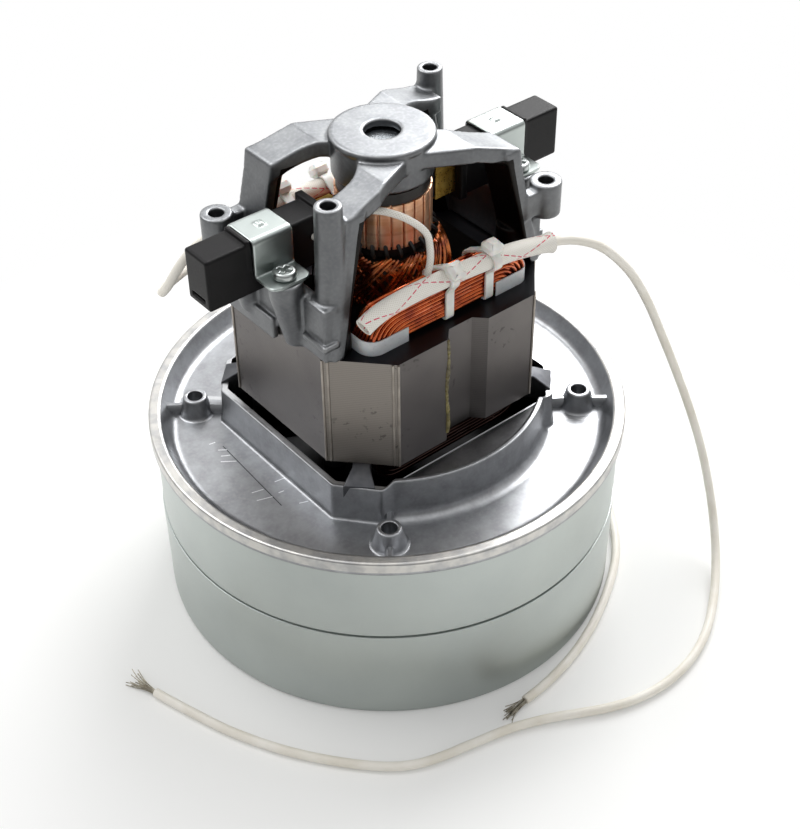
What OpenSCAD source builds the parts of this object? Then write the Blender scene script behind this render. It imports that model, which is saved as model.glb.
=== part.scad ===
// Two-stage vacuum cleaner motor: a closed fan casing below and an open brush motor above.
// X runs through the two brushes, Y through the two field coils and Z up the shaft.

/* [Fan casing] */
// Outer diameter of the lower casing
casing_d = 144; // [136:1:156]
// Sheet thickness of both casings
casing_wall = 0.9; // [0.7:0.1:1.2]
// Outer corner radius of the lower casing
casing_corner = 1.8; // [1.4:0.1:3]
// Height of the seam between the two casings
seam_z = 33.5; // [31:0.5:37]
// Open gap at the seam
seam_gap = 0.5; // [0.3:0.1:1]
// Step in radius from the lower casing to the upper one
seam_step = 0.35; // [0.2:0.05:0.6]
// Length of the upper casing that sits inside the lower one
seam_overlap = 5; // [4:0.5:6]
// Height of the underside of the flange lip
lip_z = 60.2; // [58:0.2:64]
// Diameter of the inlet eye
inlet_d = 46; // [40:1:48]
// Height of the turned-in lip of the inlet eye
inlet_lip = 3.2; // [2.8:0.1:3.8]

/* [Fans] */
// Outer diameter of both fans
fan_d = 124; // [112:1:128]
// Sheet thickness of the fans
fan_sheet = 0.8; // [0.6:0.1:1]
// Height of the blades
blade_h = 11; // [9:0.5:11.5]
// Diameter of the eye in the fan shroud
fan_eye_d = 50; // [48.5:0.5:54]
// Radius of the curve of the blades
blade_r = 35; // [33:0.5:37]
// Distance of the centre of that curve from the shaft
blade_centre = 40; // [39:0.5:42]
// Number of blades on a fan
blades = 7; // [5:1:9]
// Underside of the first fan above the base
first_fan_z = 4.6; // [4.2:0.1:5]
// Underside of the second fan above the top of the stage divider
second_fan_gap = 1.5; // [1:0.1:2.5]
// Gap between the first fan and the stage divider
divider_gap = 1.2; // [0.8:0.1:1.8]
// Number of return vanes on the stage divider
vanes = 9; // [7:1:11]
// Open ring between the divider disc and the casing
divider_ring = 8; // [6:0.5:10]
// Distance of the vane ends from the edges of the divider
vane_margin = 2.5; // [2:0.1:4]
// Lean of the vanes from the radius in degrees
vane_lean = 45; // [35:1:50]
// Room round the washers in the stage divider
washer_room = 2; // [1:0.1:3]
// Diameter of the fan washers
fan_washer_d = 22; // [18:1:24]
// Thickness of the fan washers
fan_washer_t = 1.5; // [1:0.1:1.8]
// Outer diameter of the spacer between the fans
fan_spacer_d = 14; // [12:0.5:16]
// Outer diameter of the spacer under the lower bearing
bearing_spacer_d = 11.4; // [10.4:0.1:11.8]
// Height of the fan nut
nut_h = 6.5; // [5:0.5:7]
// Width of the fan nut across its flats
nut_flats = 13; // [11:0.5:15]

/* [Base flange] */
// Overhang of the flange past the lower casing
flange_over = 1.05; // [0.6:0.05:2]
// Height of the flange lip
lip_h = 4.55; // [3.5:0.05:6]
// Width of the flat top of the rim
rim_w = 3.6; // [3:0.1:4.5]
// Rounding of the edges of the rim
rim_round = 0.8; // [0.5:0.1:1]
// Width of the slope inside the rim
rim_slope_w = 3.2; // [2:0.1:4]
// Fillet between that slope and the floor
dish_fillet = 1.8; // [1:0.1:2.4]
// Height of the dished floor
floor_z = 59; // [58:0.1:59.6]
// Thickness of the floor
floor_t = 3; // [2.4:0.1:4]
// Pitch circle of the four screw bosses
boss_pcd = 118; // [114:0.5:122]
// Turn of the screw bosses from the brush axis
boss_turn = -38.5; // [-45:0.5:-32]
// Height of the screw bosses above the floor
boss_h = 6.2; // [5:0.1:8]
// Diameter of a screw boss at its top
boss_top_d = 7.2; // [6.8:0.1:8]
// Diameter of a screw boss at the floor
boss_base_d = 11; // [10:0.1:12.5]
// Diameter of the holes in the screw bosses
boss_hole_d = 4.6; // [4:0.1:5]
// Width of the radial ribs
rib_w = 2.6; // [2:0.1:3.5]
// Height of the radial ribs above the floor
rib_h = 3; // [2:0.1:4]
// Diameter of the round sides of the collar
collar_d = 96.8; // [94:0.2:99]
// Width of the collar across its flat sides
collar_w = 84.6; // [83.4:0.2:87]
// Top of the round sides of the collar above the floor
collar_h = 13.6; // [12:0.1:14.4]
// Top of the flat sides of the collar above the floor
collar_flat_h = 12.2; // [10.5:0.1:13]
// Wall of the collar
collar_wall = 2; // [1.6:0.1:2.4]
// Height and reach of the sloping foot of the collar
collar_foot = 3.4; // [2:0.1:4]
// Half width of the corner lobes of the collar where they start
lobe_x = 33; // [32:0.2:34.5]
// Half length of the flat sides of the collar
lobe_y = 27.5; // [26:0.5:29]
// Reach of the corner lobes along Y
lobe_reach = 38.5; // [37.5:0.1:40]
// Gap from the core to the straight edge of the shelf
opening_gap = 1.4; // [1:0.1:2]
// Inset of the corners of the opening from the ends of the flat sides
opening_inset = 0.7; // [0.4:0.1:1]
// Drop of the shelf below the bead on the round sides
shelf_drop = 0.9; // [0.4:0.1:1.5]
// Thickness of the shelf
shelf_t = 2.4; // [1.8:0.1:3]
// Width of the bead round the shelf
bead_w = 1.5; // [1:0.1:2]
// Diameter of the lower bearing hub
lower_hub_d = 29; // [27:0.5:31]
// Width of the arms that carry the lower bearing hub
spider_w = 9; // [7:0.5:10]
// Thickness of the arms that carry the lower bearing hub
spider_t = 4.5; // [4:0.1:5]
// Diameter of the posts under the field core
post_d = 7.2; // [6.8:0.1:7.4]
// Corner pads along the brush axis
pad_x = 35.2; // [34.8:0.1:35.6]
// Corner pads along the field axis
pad_y = 26.5; // [26:0.1:27]
// Diameter of the corner pads under the field core
pad_d = 9.2; // [8.4:0.2:9.6]

/* [Field core] */
// Size of the core along the brush axis
core_x = 78.2; // [77.4:0.2:79]
// Size of the core along the field axis
core_y = 73; // [72:0.2:75]
// Height of the stack
core_h = 36.5; // [34:0.5:40]
// Gap between the top of the flat collar sides and the core
core_lift = 3.3; // [2:0.1:4]
// Corner cut along the brush axis
cut_x = 14.2; // [13:0.2:15]
// Corner cut along the field axis
cut_y = 15.2; // [14:0.2:16]
// Width of the groove in the long sides
groove_w = 15; // [12:0.5:17]
// Depth of the groove in the long sides
groove_depth = 3.3; // [2.5:0.1:4]
// Diameter of the armature bore
bore_d = 42; // [41.6:0.1:42.4]
// Thickness of the pole shoes
shoe_t = 3; // [2.4:0.1:3.3]
// Half angle of the pole shoes
shoe_angle = 56; // [50:1:58]
// Half width of the pole necks
neck_half = 15.8; // [14:0.2:16.2]
// Half width of the coil slots along the brush axis
slot_x = 29.8; // [29.4:0.1:30.2]
// Half width of the coil slots along the field axis
slot_y = 30.2; // [29.8:0.1:31]
// Corner radius of the coil slots
slot_r = 5; // [4:0.5:5.5]
// Thickness of the slot liner film
liner_t = 0.3; // [0.2:0.05:0.5]
// Height of the liner above the core
liner_up = 4.5; // [3:0.5:6]

/* [Field coils] */
// Half width of the coil at its inside
coil_in = 18; // [17.4:0.1:18.4]
// Width of the coil bundle
coil_w = 8; // [7.6:0.1:8.4]
// Thickness of the coil bundle along the field axis
coil_t = 7.4; // [6.4:0.1:7.4]
// Nearest face of the coil to the shaft at mid height
coil_y = 17; // [16.8:0.1:17.6]
// Outward lean of the end turns
coil_lean = 4; // [3.6:0.1:4.4]
// Depth in the slot at which that lean starts
lean_depth = 4.8; // [4:0.1:5.5]
// Height over which the coil leans
lean_run = 6; // [5.5:0.1:7]
// Gap between the core and the end turns
coil_end_gap = 1.3; // [1:0.1:2]
// Inner corner radius of the coil
coil_corner = 2.5; // [2:0.1:3]
// Diameter of the outer layer of coil wire
wire_d = 1.1; // [0.9:0.05:1.15]
// Turns of the outer layer on the outward face
face_turns = 5; // [3:1:5]
// Turns of the outer layer on the rim
rim_turns = 4; // [2:1:4]
// Diameter of the fibreglass sleeve
sleeve_d = 5.2; // [4.6:0.1:5.4]
// Thickness of the cable tie band
tie_t = 0.8; // [0.6:0.1:0.9]
// Width of the cable tie band
tie_w = 3.4; // [2.6:0.1:4]
// Size of the cable tie head
tie_head = 4.4; // [3.6:0.1:5]
// Height of the cable tie head
tie_head_h = 3.5; // [3:0.1:4]
// Diameter of the brush jumper wire
jumper_d = 2; // [1.6:0.1:2.2]

/* [Rotor] */
// Diameter of the shaft at the bearings and fans
journal_d = 8; // [7:0.5:8.5]
// Diameter of the shaft in the armature
shaft_d = 10; // [9.5:0.1:11]
// Outer diameter of the armature core
armature_d = 41; // [40.4:0.1:41.2]
// Number of armature slots
slots = 12; // [10:1:12]
// Width of an armature slot
slot_w = 4.6; // [4:0.1:4.8]
// Width of the mouth of an armature slot
mouth_w = 1.8; // [1.4:0.1:2.2]
// Radius of the bottom of the armature slots
slot_root = 12; // [11.5:0.1:12.5]
// Radius of the top of the armature slots
slot_top = 18.2; // [17.6:0.1:18.4]
// Height of the upper end winding
end_up = 12.6; // [11:0.1:12.8]
// Height of the lower end winding
end_down = 9.5; // [8:0.1:10]
// Rounding of the lower end winding
end_round = 3; // [2:0.1:4]
// Step of the end windings inside the top of the slots
end_step = 0.6; // [0.5:0.1:1]
// Crown of the upper end winding outside the commutator
crown_out = 0.8; // [0.5:0.1:1.2]
// Length of the shaft below the fan nut
shaft_tip = 2.4; // [1:0.1:2.6]
// Diameter of the outer wires on the end winding
strand_d = 1; // [0.8:0.05:1.1]
// Lean of those wires round the shaft in degrees
strand_skew = 22; // [0:1:30]
// Diameter of the commutator
commutator_d = 27.4; // [26.6:0.1:27.8]
// Thickness of the commutator bars
bar_t = 4.7; // [4.4:0.1:5]
// Length of the commutator bars
bar_h = 14; // [13:0.1:14.4]
// Number of commutator bars
bars = 24; // [20:2:24]
// Slot between two bars
bar_gap = 0.6; // [0.4:0.05:0.8]
// Bottom of the commutator bars above the core
bar_lift = 16; // [15.8:0.1:16.6]
// Reach of the wire hooks past the bars
hook_out = 1.4; // [1:0.1:1.8]
// Depth of the wire hooks in the bars
hook_root = 1; // [0.8:0.1:1.4]
// Top of the wire hooks above the bottom of the bars
hook_up = 0.8; // [0.6:0.1:1.2]
// Height of the wire hooks
hook_h = 2.2; // [1.6:0.1:2.4]
// Height of the resin ring above the bars
ring_h = 3.4; // [2.4:0.1:3.8]
// Step of the resin ring inside the bars
ring_in = 0.5; // [0.3:0.1:0.8]
// Gap between the end winding and the commutator hub
hub_gap = 0.4; // [0.3:0.05:0.6]

/* [Bearings] */
// Outer diameter of both bearings
bearing_d = 22; // [21:0.5:23]
// Width of both bearings
bearing_w = 7; // [6.6:0.1:7.4]
// Lower bearing below the underside of the floor
bearing_drop = 2; // [1.6:0.1:2.6]
// Thickness of the lip under the lower bearing
hub_lip = 1.5; // [1.2:0.1:2]
// Height of the lower hub above its bearing
hub_over = 0.4; // [0.2:0.1:0.8]
// Ball diameter
ball_d = 4; // [3.6:0.1:4.2]
// Number of balls
balls = 7; // [6:1:7]
// Thickness of the bearing races beside the grooves
race_t = 2.05; // [1.8:0.05:2.2]
// Thickness of the wave washer
wave_t = 0.5; // [0.4:0.05:0.7]

/* [Top bracket] */
// Top of the bearing cap above the core
cap_up = 46.2; // [45.4:0.1:47]
// Diameter of the bearing cap
cap_d = 29.4; // [28.6:0.1:31]
// Thickness of the edge of the cap
cap_t = 2.2; // [1.8:0.1:2.4]
// Diameter of the hole in the cap
cap_hole_d = 10.2; // [9:0.1:12]
// Diameter of the bearing housing
housing_d = 28.4; // [27:0.1:28.6]
// Height of the bearing housing with the cap
housing_h = 11.5; // [11.2:0.1:11.9]
// Top of the arms below the top of the cap
arm_down = 3.6; // [3:0.1:4.2]
// Thickness of the arms
arm_t = 4.2; // [3.6:0.1:5]
// Length of the level part of the arms from the shaft axis
arm_level = 22; // [19:0.5:24]
// Reach of the short arms past the legs
arm_over = 0.4; // [0.2:0.1:0.8]
// Fall of the arms towards their tips
arm_fall = 2; // [1:0.1:2.6]
// Width of the arms at the hub
arm_root_w = 13; // [11:0.5:14]
// Width of the arms at their tips
arm_tip_w = 11; // [9:0.5:12]
// Outer face of the legs at the arms
leg_top_x = 27.9; // [27:0.1:29]
// Outer face of the legs at the core
leg_foot_x = 37.5; // [36.5:0.1:38.5]
// Thickness of the legs
leg_t = 3.4; // [2.8:0.1:4]
// Width of the legs
leg_w = 12; // [10:0.5:13]
// Middle of the legs along the field axis
leg_y = 18; // [17:0.2:19]
// Tall boss along the brush axis
tall_x = 33.4; // [33:0.1:33.8]
// Tall boss along the field axis
tall_y = 19.5; // [19:0.1:20]
// Top of the tall bosses above the core
tall_up = 45.4; // [43:0.1:47]
// Diameter of the tall bosses at the top
tall_top_d = 7.4; // [7:0.1:8]
// Diameter of the tall bosses at the core
tall_base_d = 9.6; // [8.6:0.1:10]
// Diameter of the holes in the tall bosses
tall_hole_d = 4.2; // [3.6:0.1:4.6]
// Depth of the holes in the tall bosses
tall_hole_depth = 14; // [10:0.5:18]
// Low boss along the brush axis
low_x = 40.3; // [39.5:0.1:41]
// Low boss along the field axis
low_y = 23; // [22.4:0.1:24]
// Top of the low bosses above the core
low_up = 25.1; // [23:0.1:27]
// Length of the low bosses
low_h = 10.6; // [9:0.1:12]
// Diameter of the low bosses
low_d = 9.2; // [8:0.1:10]
// Diameter of the holes in the low bosses
low_hole_d = 4.4; // [3.8:0.1:5]
// Thickness of the webs to the low bosses
low_web_t = 4; // [3:0.1:5]
// Inset of those webs from the ends of the low bosses
low_web_in = 1.5; // [1:0.1:2]
// Outer face of the side walls
wall_x = 39.6; // [39.3:0.1:40.2]
// Thickness of the side walls
wall_t = 4.6; // [4:0.1:5.2]
// Drop of the side skirts over the core
skirt_drop = 4.4; // [3:0.1:6]
// Rise of the side skirts on the side walls
skirt_up = 3; // [2:0.1:4]
// Far end of the side skirts from the brush axis
skirt_end = 20; // [19:0.5:21]
// Length of the side skirts
skirt_l = 22; // [18:0.5:24]
// Thickness of the side skirts
skirt_t = 2; // [1.6:0.1:2.6]
// Diameter of the screw bosses under the straps
strap_boss_d = 9.6; // [8.4:0.1:10]

/* [Brush gear] */
// Width of the brush holders
holder_w = 10; // [9.6:0.1:10.4]
// Height of the brush holders
holder_h = 15.5; // [15:0.1:16]
// Bottom of the brush holders above the core
holder_up = 17; // [16.6:0.1:17.4]
// Inner end of the brush holders from the shaft axis
holder_in = 23; // [22.4:0.1:24]
// Outer end of the brush holders from the shaft axis
holder_out = 62; // [60:0.5:64]
// Closed wall at the outer end of the holders
holder_end = 2; // [1.6:0.1:3]
// Width of the collar on the inner end of the holders
holder_lip_w = 13; // [12:0.1:13.6]
// Length of the collar on the inner end of the holders
holder_lip = 2.5; // [2:0.1:3]
// Rise of that collar above the holders
holder_lip_up = 1; // [0.6:0.1:1.4]
// Width of the ridge beside the straps
ridge_w = 1.4; // [1:0.1:2]
// Brush width
brush_w = 6.4; // [6:0.1:6.6]
// Brush height
brush_h = 10; // [9.5:0.1:10.4]
// Brush length
brush_l = 25; // [22:0.5:28]
// Wall of the brass brush tubes
tube_wall = 0.5; // [0.4:0.05:0.6]
// Reach of the brass tubes past the inner end of the holders
tube_out = 7.2; // [6:0.1:7.4]
// Outer diameter of the brush springs
spring_d = 5.4; // [4.8:0.1:5.8]
// Wire diameter of the brush springs
spring_wire = 0.7; // [0.5:0.05:0.8]
// Curls of the brush springs
spring_curls = 7; // [5:1:7]
// Middle of the straps from the shaft axis
strap_x = 41.6; // [41:0.1:42.4]
// Width of the straps
strap_w = 12.5; // [11.5:0.1:13.5]
// Sheet thickness of the straps
strap_t = 0.9; // [0.7:0.05:1.1]
// Length of the pressed dimple in the straps
dimple_l = 4; // [3:0.1:5]
// Width of that dimple
dimple_w = 3.2; // [2.4:0.1:4]
// Height of that dimple
dimple_h = 0.7; // [0.4:0.1:0.8]
// Underside of the strap feet above the core
foot_up = 21.5; // [20.5:0.1:22.5]
// Length of the strap feet
foot_l = 9; // [8.4:0.1:9.6]
// Strap screw from the middle of the holder
strap_screw_y = 10.3; // [10:0.1:10.6]
// Shank diameter of the strap screws
screw_d = 3.4; // [3:0.1:3.6]
// Head diameter of the strap screws
screw_head_d = 6.8; // [6:0.1:7]
// Head height of the strap screws
screw_head_h = 2.2; // [1.8:0.1:2.6]
// Length of the cross recess in the strap screws
recess_l = 4; // [3:0.1:4.4]
// Width of the cross recess
recess_w = 1.1; // [0.8:0.1:1.3]
// Depth of the cross recess
recess_depth = 1.4; // [1:0.1:1.6]
// Length of the strap screws under the head
screw_l = 9; // [7:0.5:11]

/* [Core bolts] */
// Diameter of the four core bolts
core_bolt_d = 4; // [3.4:0.1:4.2]
// Wall between the coil slots and the core bolt holes
bolt_wall = 1.4; // [1:0.1:1.8]
// Core bolts along the field axis
bolt_y = 17.5; // [16:0.1:18.5]
// Length of the core bolts in the bracket
core_bolt_grip = 9; // [7:0.5:11]
// Room past the ends of the core bolts
bolt_end_room = 1; // [0.6:0.1:1.5]
// Metal over the short core bolt holes
bolt_cover = 1; // [0.8:0.1:2]
// Head diameter of the core bolts
core_bolt_head_d = 7; // [6:0.1:8]
// Head height of the core bolts
core_bolt_head_h = 3; // [2.4:0.1:4]

/* [Leads] */
// Diameter of the two leads
lead_d = 2.8; // [2.2:0.1:3]
// Diameter of the bare strand ends
bare_d = 1.6; // [1.2:0.1:2]

/* [Fits] */
// Radial clearance of a part that slips over another
slip = 0.05; // [0.03:0.01:0.08]
// Clearance of pieces that only sit beside each other
seat_gap = 0.15; // [0.1:0.01:0.25]
// Clearance round a bolt in its hole
bolt_gap = 0.2; // [0.15:0.01:0.4]
// Gap from a brush to the commutator and from ball to groove
run_gap = 0.1; // [0.08:0.01:0.15]

/* [Hidden] */
$fn = 64;
// Overshoot of a cut past the face that it opens
cut = 1;
// Sides of the small wires and of the leads
wire_sides = 6;
lead_sides = 8;
// Depth that joined shapes reach into each other
sink = 0.2;
// Stations round one turn of a field coil, on one quarter of it, and along one turn of a spring
loop_steps = 24;
quarter_steps = loop_steps / 4;
corner_turn = 90 / (quarter_steps - 3);
curl_steps = 8;
// Stations along one wire of the end winding
strand_steps = 4;

casing_r = casing_d / 2;
lower_in_r = casing_r - casing_wall;
upper_r = casing_r - seam_step;
upper_in_r = upper_r - casing_wall;
joggle_r = lower_in_r - slip;
joggle_in_r = joggle_r - casing_wall;
inlet_r = inlet_d / 2;
inlet_bend = 2 * casing_wall;
plate_top = seam_z - seam_overlap;

fan_r = fan_d / 2;
fan_h = blade_h + 2 * fan_sheet;
first_plate_top = first_fan_z + fan_h;
divider_z = first_plate_top + divider_gap;
divider_disc_r = lower_in_r - divider_ring;
divider_hole_d = fan_washer_d + 2 * washer_room;
second_fan_z = plate_top + second_fan_gap;
second_plate_top = second_fan_z + fan_h;
vane_in = fan_eye_d / 2 + vane_margin;
vane_out = divider_disc_r - vane_margin;
vane_l = sqrt(pow(vane_out, 2) - pow(vane_in * sin(vane_lean), 2)) - vane_in * cos(vane_lean);

flange_r = casing_r + flange_over;
lip_top = lip_z + lip_h;
floor_bottom = floor_z - floor_t;
spigot_r = upper_in_r - slip;
rim_in_r = flange_r - rim_w;
rim_foot_r = rim_in_r - rim_slope_w;
boss_r = boss_pcd / 2;
boss_top = floor_z + boss_h;
collar_r = collar_d / 2;
collar_top = floor_z + collar_h;
flat_top = floor_z + collar_flat_h;
core_z = flat_top + core_lift;
core_top = core_z + core_h;
core_mid = core_z + core_h / 2;
opening_x = collar_w / 2 - collar_wall;
opening_y = core_y / 2 + opening_gap;

bearing_lower_z = floor_bottom - bearing_drop;
bearing_lower_top = bearing_lower_z + bearing_w;
lower_hub_z = bearing_lower_z - hub_lip;
cap_top = core_top + cap_up;
housing_z = cap_top - housing_h;
bearing_upper_top = cap_top - cap_t - wave_t - seat_gap;
bearing_upper_z = bearing_upper_top - bearing_w;
bearing_seat_d = bearing_d + 2 * slip;
ball_pitch_r = (bearing_d + journal_d) / 4;
groove_r = ball_d / 2 + run_gap;
shaft_bottom = first_plate_top - fan_sheet - fan_washer_t - nut_h - shaft_tip;

bar_z = core_top + bar_lift;
bar_top = bar_z + bar_h;
commutator_r = commutator_d / 2;
bar_root_r = commutator_r - bar_t;
end_top = core_top + end_up;
end_out_r = slot_top - end_step;
end_in_r = commutator_r + crown_out;

arm_top = cap_top - arm_down;
leg_top_z = arm_top - arm_fall - arm_t / 2;
holder_z = core_top + holder_up;
holder_top = holder_z + holder_h;
brush_mid = holder_z + holder_h / 2;
tube_w = brush_w + 2 * (seat_gap + tube_wall);
tube_h = brush_h + 2 * (seat_gap + tube_wall);
tube_in = holder_in - tube_out;
tube_end = holder_out - holder_end - seat_gap;
brush_face = commutator_r + run_gap;
brush_back = brush_face + brush_l;
foot_z = core_top + foot_up;
strap_top = holder_top + strap_t + seat_gap;
strap_in_half = holder_w / 2 + seat_gap;
core_bolt_top = core_top + core_bolt_grip;
bolt_x = slot_x + bolt_wall + bolt_gap + core_bolt_d / 2;

// Route of the sleeve over the front end turn, from its cut end to where the lead leaves it, above the core
sleeve_over = [[-31, -29.4, 11.2], [-27.6, -29.2, 12.5], [-23, -29, 13.4], [-17, -29, 13.9],
    [-10, -29, 14], [0, -29.4, 14], [10, -30.2, 14], [20, -31.2, 13.6], [27, -31.8, 12.6],
    [34, -32.4, 11.4]];
sleeve_route = [for (p = sleeve_over) p + [0, 0, core_top]];
// Route of the jumper from the front end turn up under the arm and on to the brush holder, above the core
jumper_over = [[-6, -26, 15], [-5, -26, 19], [-4.6, -25.4, 23], [-5, -24.6, 27],
    [-7.4, -23.4, 30.4], [-11, -21, 33.4], [-15, -17.6, 35], [-19, -14, 35], [-23, -11, 33.4],
    [-26, -9.6, 30.6], [-27.4, -8.4, 27.8], [-27.8, -7, 26.6], [-28, -5.2, 26.4]];
jumper_route = [for (p = jumper_over) p + [0, 0, core_top]];
// Route of the front lead from its sleeve down to the floor and round the casing
lead_front_route = [[34.2, -32.4, 122.4], [37.6, -33, 121.8], [42, -35, 121], [48, -37.4, 118],
    [54, -39, 112.4], [61.6, -40.4, 102.6], [69, -41.4, 89.6], [74.8, -43.2, 76], [79.6, -47, 61.2],
    [83, -52, 46.6], [84.2, -58, 33], [82.6, -65, 20.4], [78.4, -72.4, 10.6], [71.8, -79.8, 4.6],
    [62, -88, 2], [50.4, -95.4, 1.5], [38.4, -100, 1.5], [26, -101.6, 1.5], [15, -100.4, 1.5],
    [6, -97.4, 1.5], [-2, -93.4, 1.5], [-11, -88.6, 1.5], [-22.4, -84, 1.5], [-35.4, -80.8, 1.5],
    [-45.4, -78.4, 1.5], [-53.4, -75.2, 1.5], [-61, -69.4, 1.5], [-70.4, -58.8, 1.5],
    [-79, -46.4, 1.5], [-86.4, -32, 1.5], [-91, -19.4, 1.5], [-94, -10.4, 1.5], [-95.6, -5, 1.5]];
front_bare_route = [[-95.6, -5, 1.5], [-97, 0, 1.4], [-98.4, 5, 1.2]];
// Route of the back lead from its sleeve past the left brush holder, down behind the casing and round it
lead_back_route = [[-34.2, 32.4, 122.4], [-40, 32.8, 121.4], [-45, 33, 118.8], [-48.8, 33.6, 114.8],
    [-51.2, 35.2, 110], [-51.4, 38.8, 105.6], [-48.8, 42.8, 103.2], [-44.4, 45.4, 102.6],
    [-38.6, 47.4, 102.6], [-31, 50, 102.4], [-21, 54, 101.2], [-10, 58.8, 98.2], [0, 64, 92.4],
    [8, 68.8, 83.6], [13.4, 72.6, 73], [16.6, 75.4, 60], [18.2, 77.2, 46], [19.2, 78.2, 32],
    [21, 78.4, 19], [25, 77.4, 9], [31.6, 74.8, 3.2],
    [40.6, 69, 1.5], [52.6, 60, 1.5], [63.4, 48, 1.5], [71.4, 34, 1.5], [76, 18, 1.5], [77.4, 2, 1.5],
    [75.6, -14, 1.5], [70.6, -29, 1.5], [62.6, -42.6, 1.5], [53.4, -53, 1.5], [43.6, -60.4, 1.5],
    [32.4, -67, 1.5], [21.6, -72, 1.5], [10.4, -75.8, 1.5], [-1.6, -78.2, 1.5], [-12, -79, 1.5]];
back_bare_route = [[-12.2, -79, 1.5], [-17, -79.2, 1.4], [-21.6, -79.6, 1.2]];

// Shared shapes

function unit(v) = v / norm(v);
function ease(t) = let (c = min(max(t, 0), 1)) c * c * (3 - 2 * c);
function arc(centre, r, from, to, steps = 6) =
    [for (i = [0:steps]) let (a = from + (to - from) * i / steps) centre + r * [cos(a), sin(a)]];
function heading(p, i) = unit(p[min(i + 1, len(p) - 1)] - p[max(i - 1, 0)]);

// The part of a direction that is square to the heading
function squared(h, v) = unit(v - (v * h) * h);

// Points between the chosen ones, on a smooth curve through them
function smooth_point(p, i, t) =
    let (a = p[max(i - 1, 0)], b = p[i], c = p[i + 1], d = p[min(i + 2, len(p) - 1)])
    0.5 * (2 * b + (c - a) * t + (2 * a - 5 * b + 4 * c - d) * t * t + (3 * b - a - 3 * c + d) * t * t * t);
function smooth(p, steps) =
    [for (i = [0:len(p) - 2]) for (k = [0:steps - 1]) smooth_point(p, i, k / steps), p[len(p) - 1]];

// Side directions carried along a route, each turned as little as possible from the one before
function carried(p, i, last) =
    i == len(p) ? [] : let (s = squared(heading(p, i), last)) concat([s], carried(p, i + 1, s));
function first_side(p) = let (h = heading(p, 0)) unit(cross(h, abs(h[2]) < 0.7 ? [0, 0, 1] : [0, 1, 0]));

// One closed tube through the points, with a side direction given for each
module swept_tube(p, side, d, sides, d_end = undef) {
    n = len(p);
    rings = [for (i = [0:n - 1])
        let (h = heading(p, i), v = cross(h, side[i]),
            r = (is_undef(d_end) ? d : d + (d_end - d) * i / (n - 1)) / 2)
        for (k = [0:sides - 1]) let (a = 360 * k / sides) p[i] + r * (cos(a) * side[i] + sin(a) * v)];
    walls = [for (i = [0:n - 2]) for (k = [0:sides - 1])
        let (a = i * sides + k, b = i * sides + (k + 1) % sides)
        each [[a, a + sides, b], [b, a + sides, b + sides]]];
    ends = [for (k = [1:sides - 2]) each [[0, k, k + 1], let (e = (n - 1) * sides) [e, e + k + 1, e + k]]];
    polyhedron(points = rings, faces = concat(walls, ends));
}

module routed_tube(route, steps, d, sides, d_end = undef) {
    p = smooth(route, steps);
    swept_tube(p, carried(p, 0, first_side(p)), d, sides, d_end);
}

// Least distance between stretches of a wound wire that are more than skip points apart, less its diameter
function least_gap(p, d, skip) =
    min([for (i = [0:len(p) - 1 - skip]) for (j = [i + skip:len(p) - 1]) norm(p[i] - p[j])]) - d;

module ring(d_out, d_in, h) {
    difference() {
        cylinder(d = d_out, h = h);
        translate([0, 0, -cut]) cylinder(d = d_in, h = h + 2 * cut);
    }
}

module opposite() {
    children();
    rotate(180) children();
}

module rounded_square(x, y, r) {
    square([2 * x, 2 * (y - r)], center = true);
    square([2 * (x - r), 2 * y], center = true);
    for (i = [-1, 1], j = [-1, 1]) translate([i * (x - r), j * (y - r)]) circle(r);
}

module at_corners(x, y) {
    for (i = [-1, 1], j = [-1, 1]) translate([i * x, j * y]) children();
}

// Fan casing

module lower_casing() {
    outer = [casing_r - casing_corner, casing_corner];
    eye = [inlet_r + inlet_bend, inlet_bend];
    color("#b9bcb6") rotate_extrude($fn = 128) polygon(concat(
        [[inlet_r, inlet_lip]],
        arc(eye, inlet_bend, 180, 270),
        arc(outer, casing_corner, -90, 0),
        [[casing_r, seam_z], [lower_in_r, seam_z]],
        arc(outer, casing_corner - casing_wall, 0, -90),
        arc(eye, inlet_bend - casing_wall, 270, 180),
        [[inlet_r + casing_wall, inlet_lip]]));
}

module upper_casing() {
    step_z = seam_z + seam_gap;
    color("#c2c4c0") rotate_extrude($fn = 128) polygon([
        [joggle_in_r, plate_top], [joggle_r, plate_top], [joggle_r, step_z], [upper_r, step_z],
        [upper_r, lip_z], [upper_in_r, lip_z], [upper_in_r, step_z + casing_wall],
        [joggle_in_r, step_z + casing_wall]]);
}

module stage_divider() {
    color("#a8aaa8") {
        translate([0, 0, plate_top - casing_wall]) ring(2 * joggle_r, fan_eye_d, casing_wall);
        translate([0, 0, divider_z]) {
            ring(2 * divider_disc_r, divider_hole_d, casing_wall);
            for (i = [0:vanes - 1]) rotate(360 * i / vanes) translate([vane_in, 0]) rotate(vane_lean)
                cube([vane_l, casing_wall, plate_top - divider_z - casing_wall / 2]);
        }
    }
}

// Fans and what clamps them on the shaft

// Angle on the blade's own circle at which it crosses a radius of the fan
function blade_angle(r) =
    acos((r * r - pow(blade_centre, 2) - pow(blade_r, 2)) / (2 * blade_centre * blade_r));

module fan() {
    tip = blade_angle(fan_r - 1);
    root = blade_angle(fan_eye_d / 2 + 1);
    ring(fan_d, fan_eye_d, fan_sheet);
    translate([0, 0, fan_h - fan_sheet]) ring(fan_d, journal_d + 2 * slip, fan_sheet);
    for (i = [0:blades - 1]) rotate(360 * i / blades) translate([blade_centre, 0, fan_sheet / 2]) rotate(tip)
        rotate_extrude(angle = root - tip) translate([blade_r, 0]) square([fan_sheet, fan_h - fan_sheet]);
}

module first_fan() {
    color("#c9ccce") translate([0, 0, first_fan_z]) fan();
}

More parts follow.
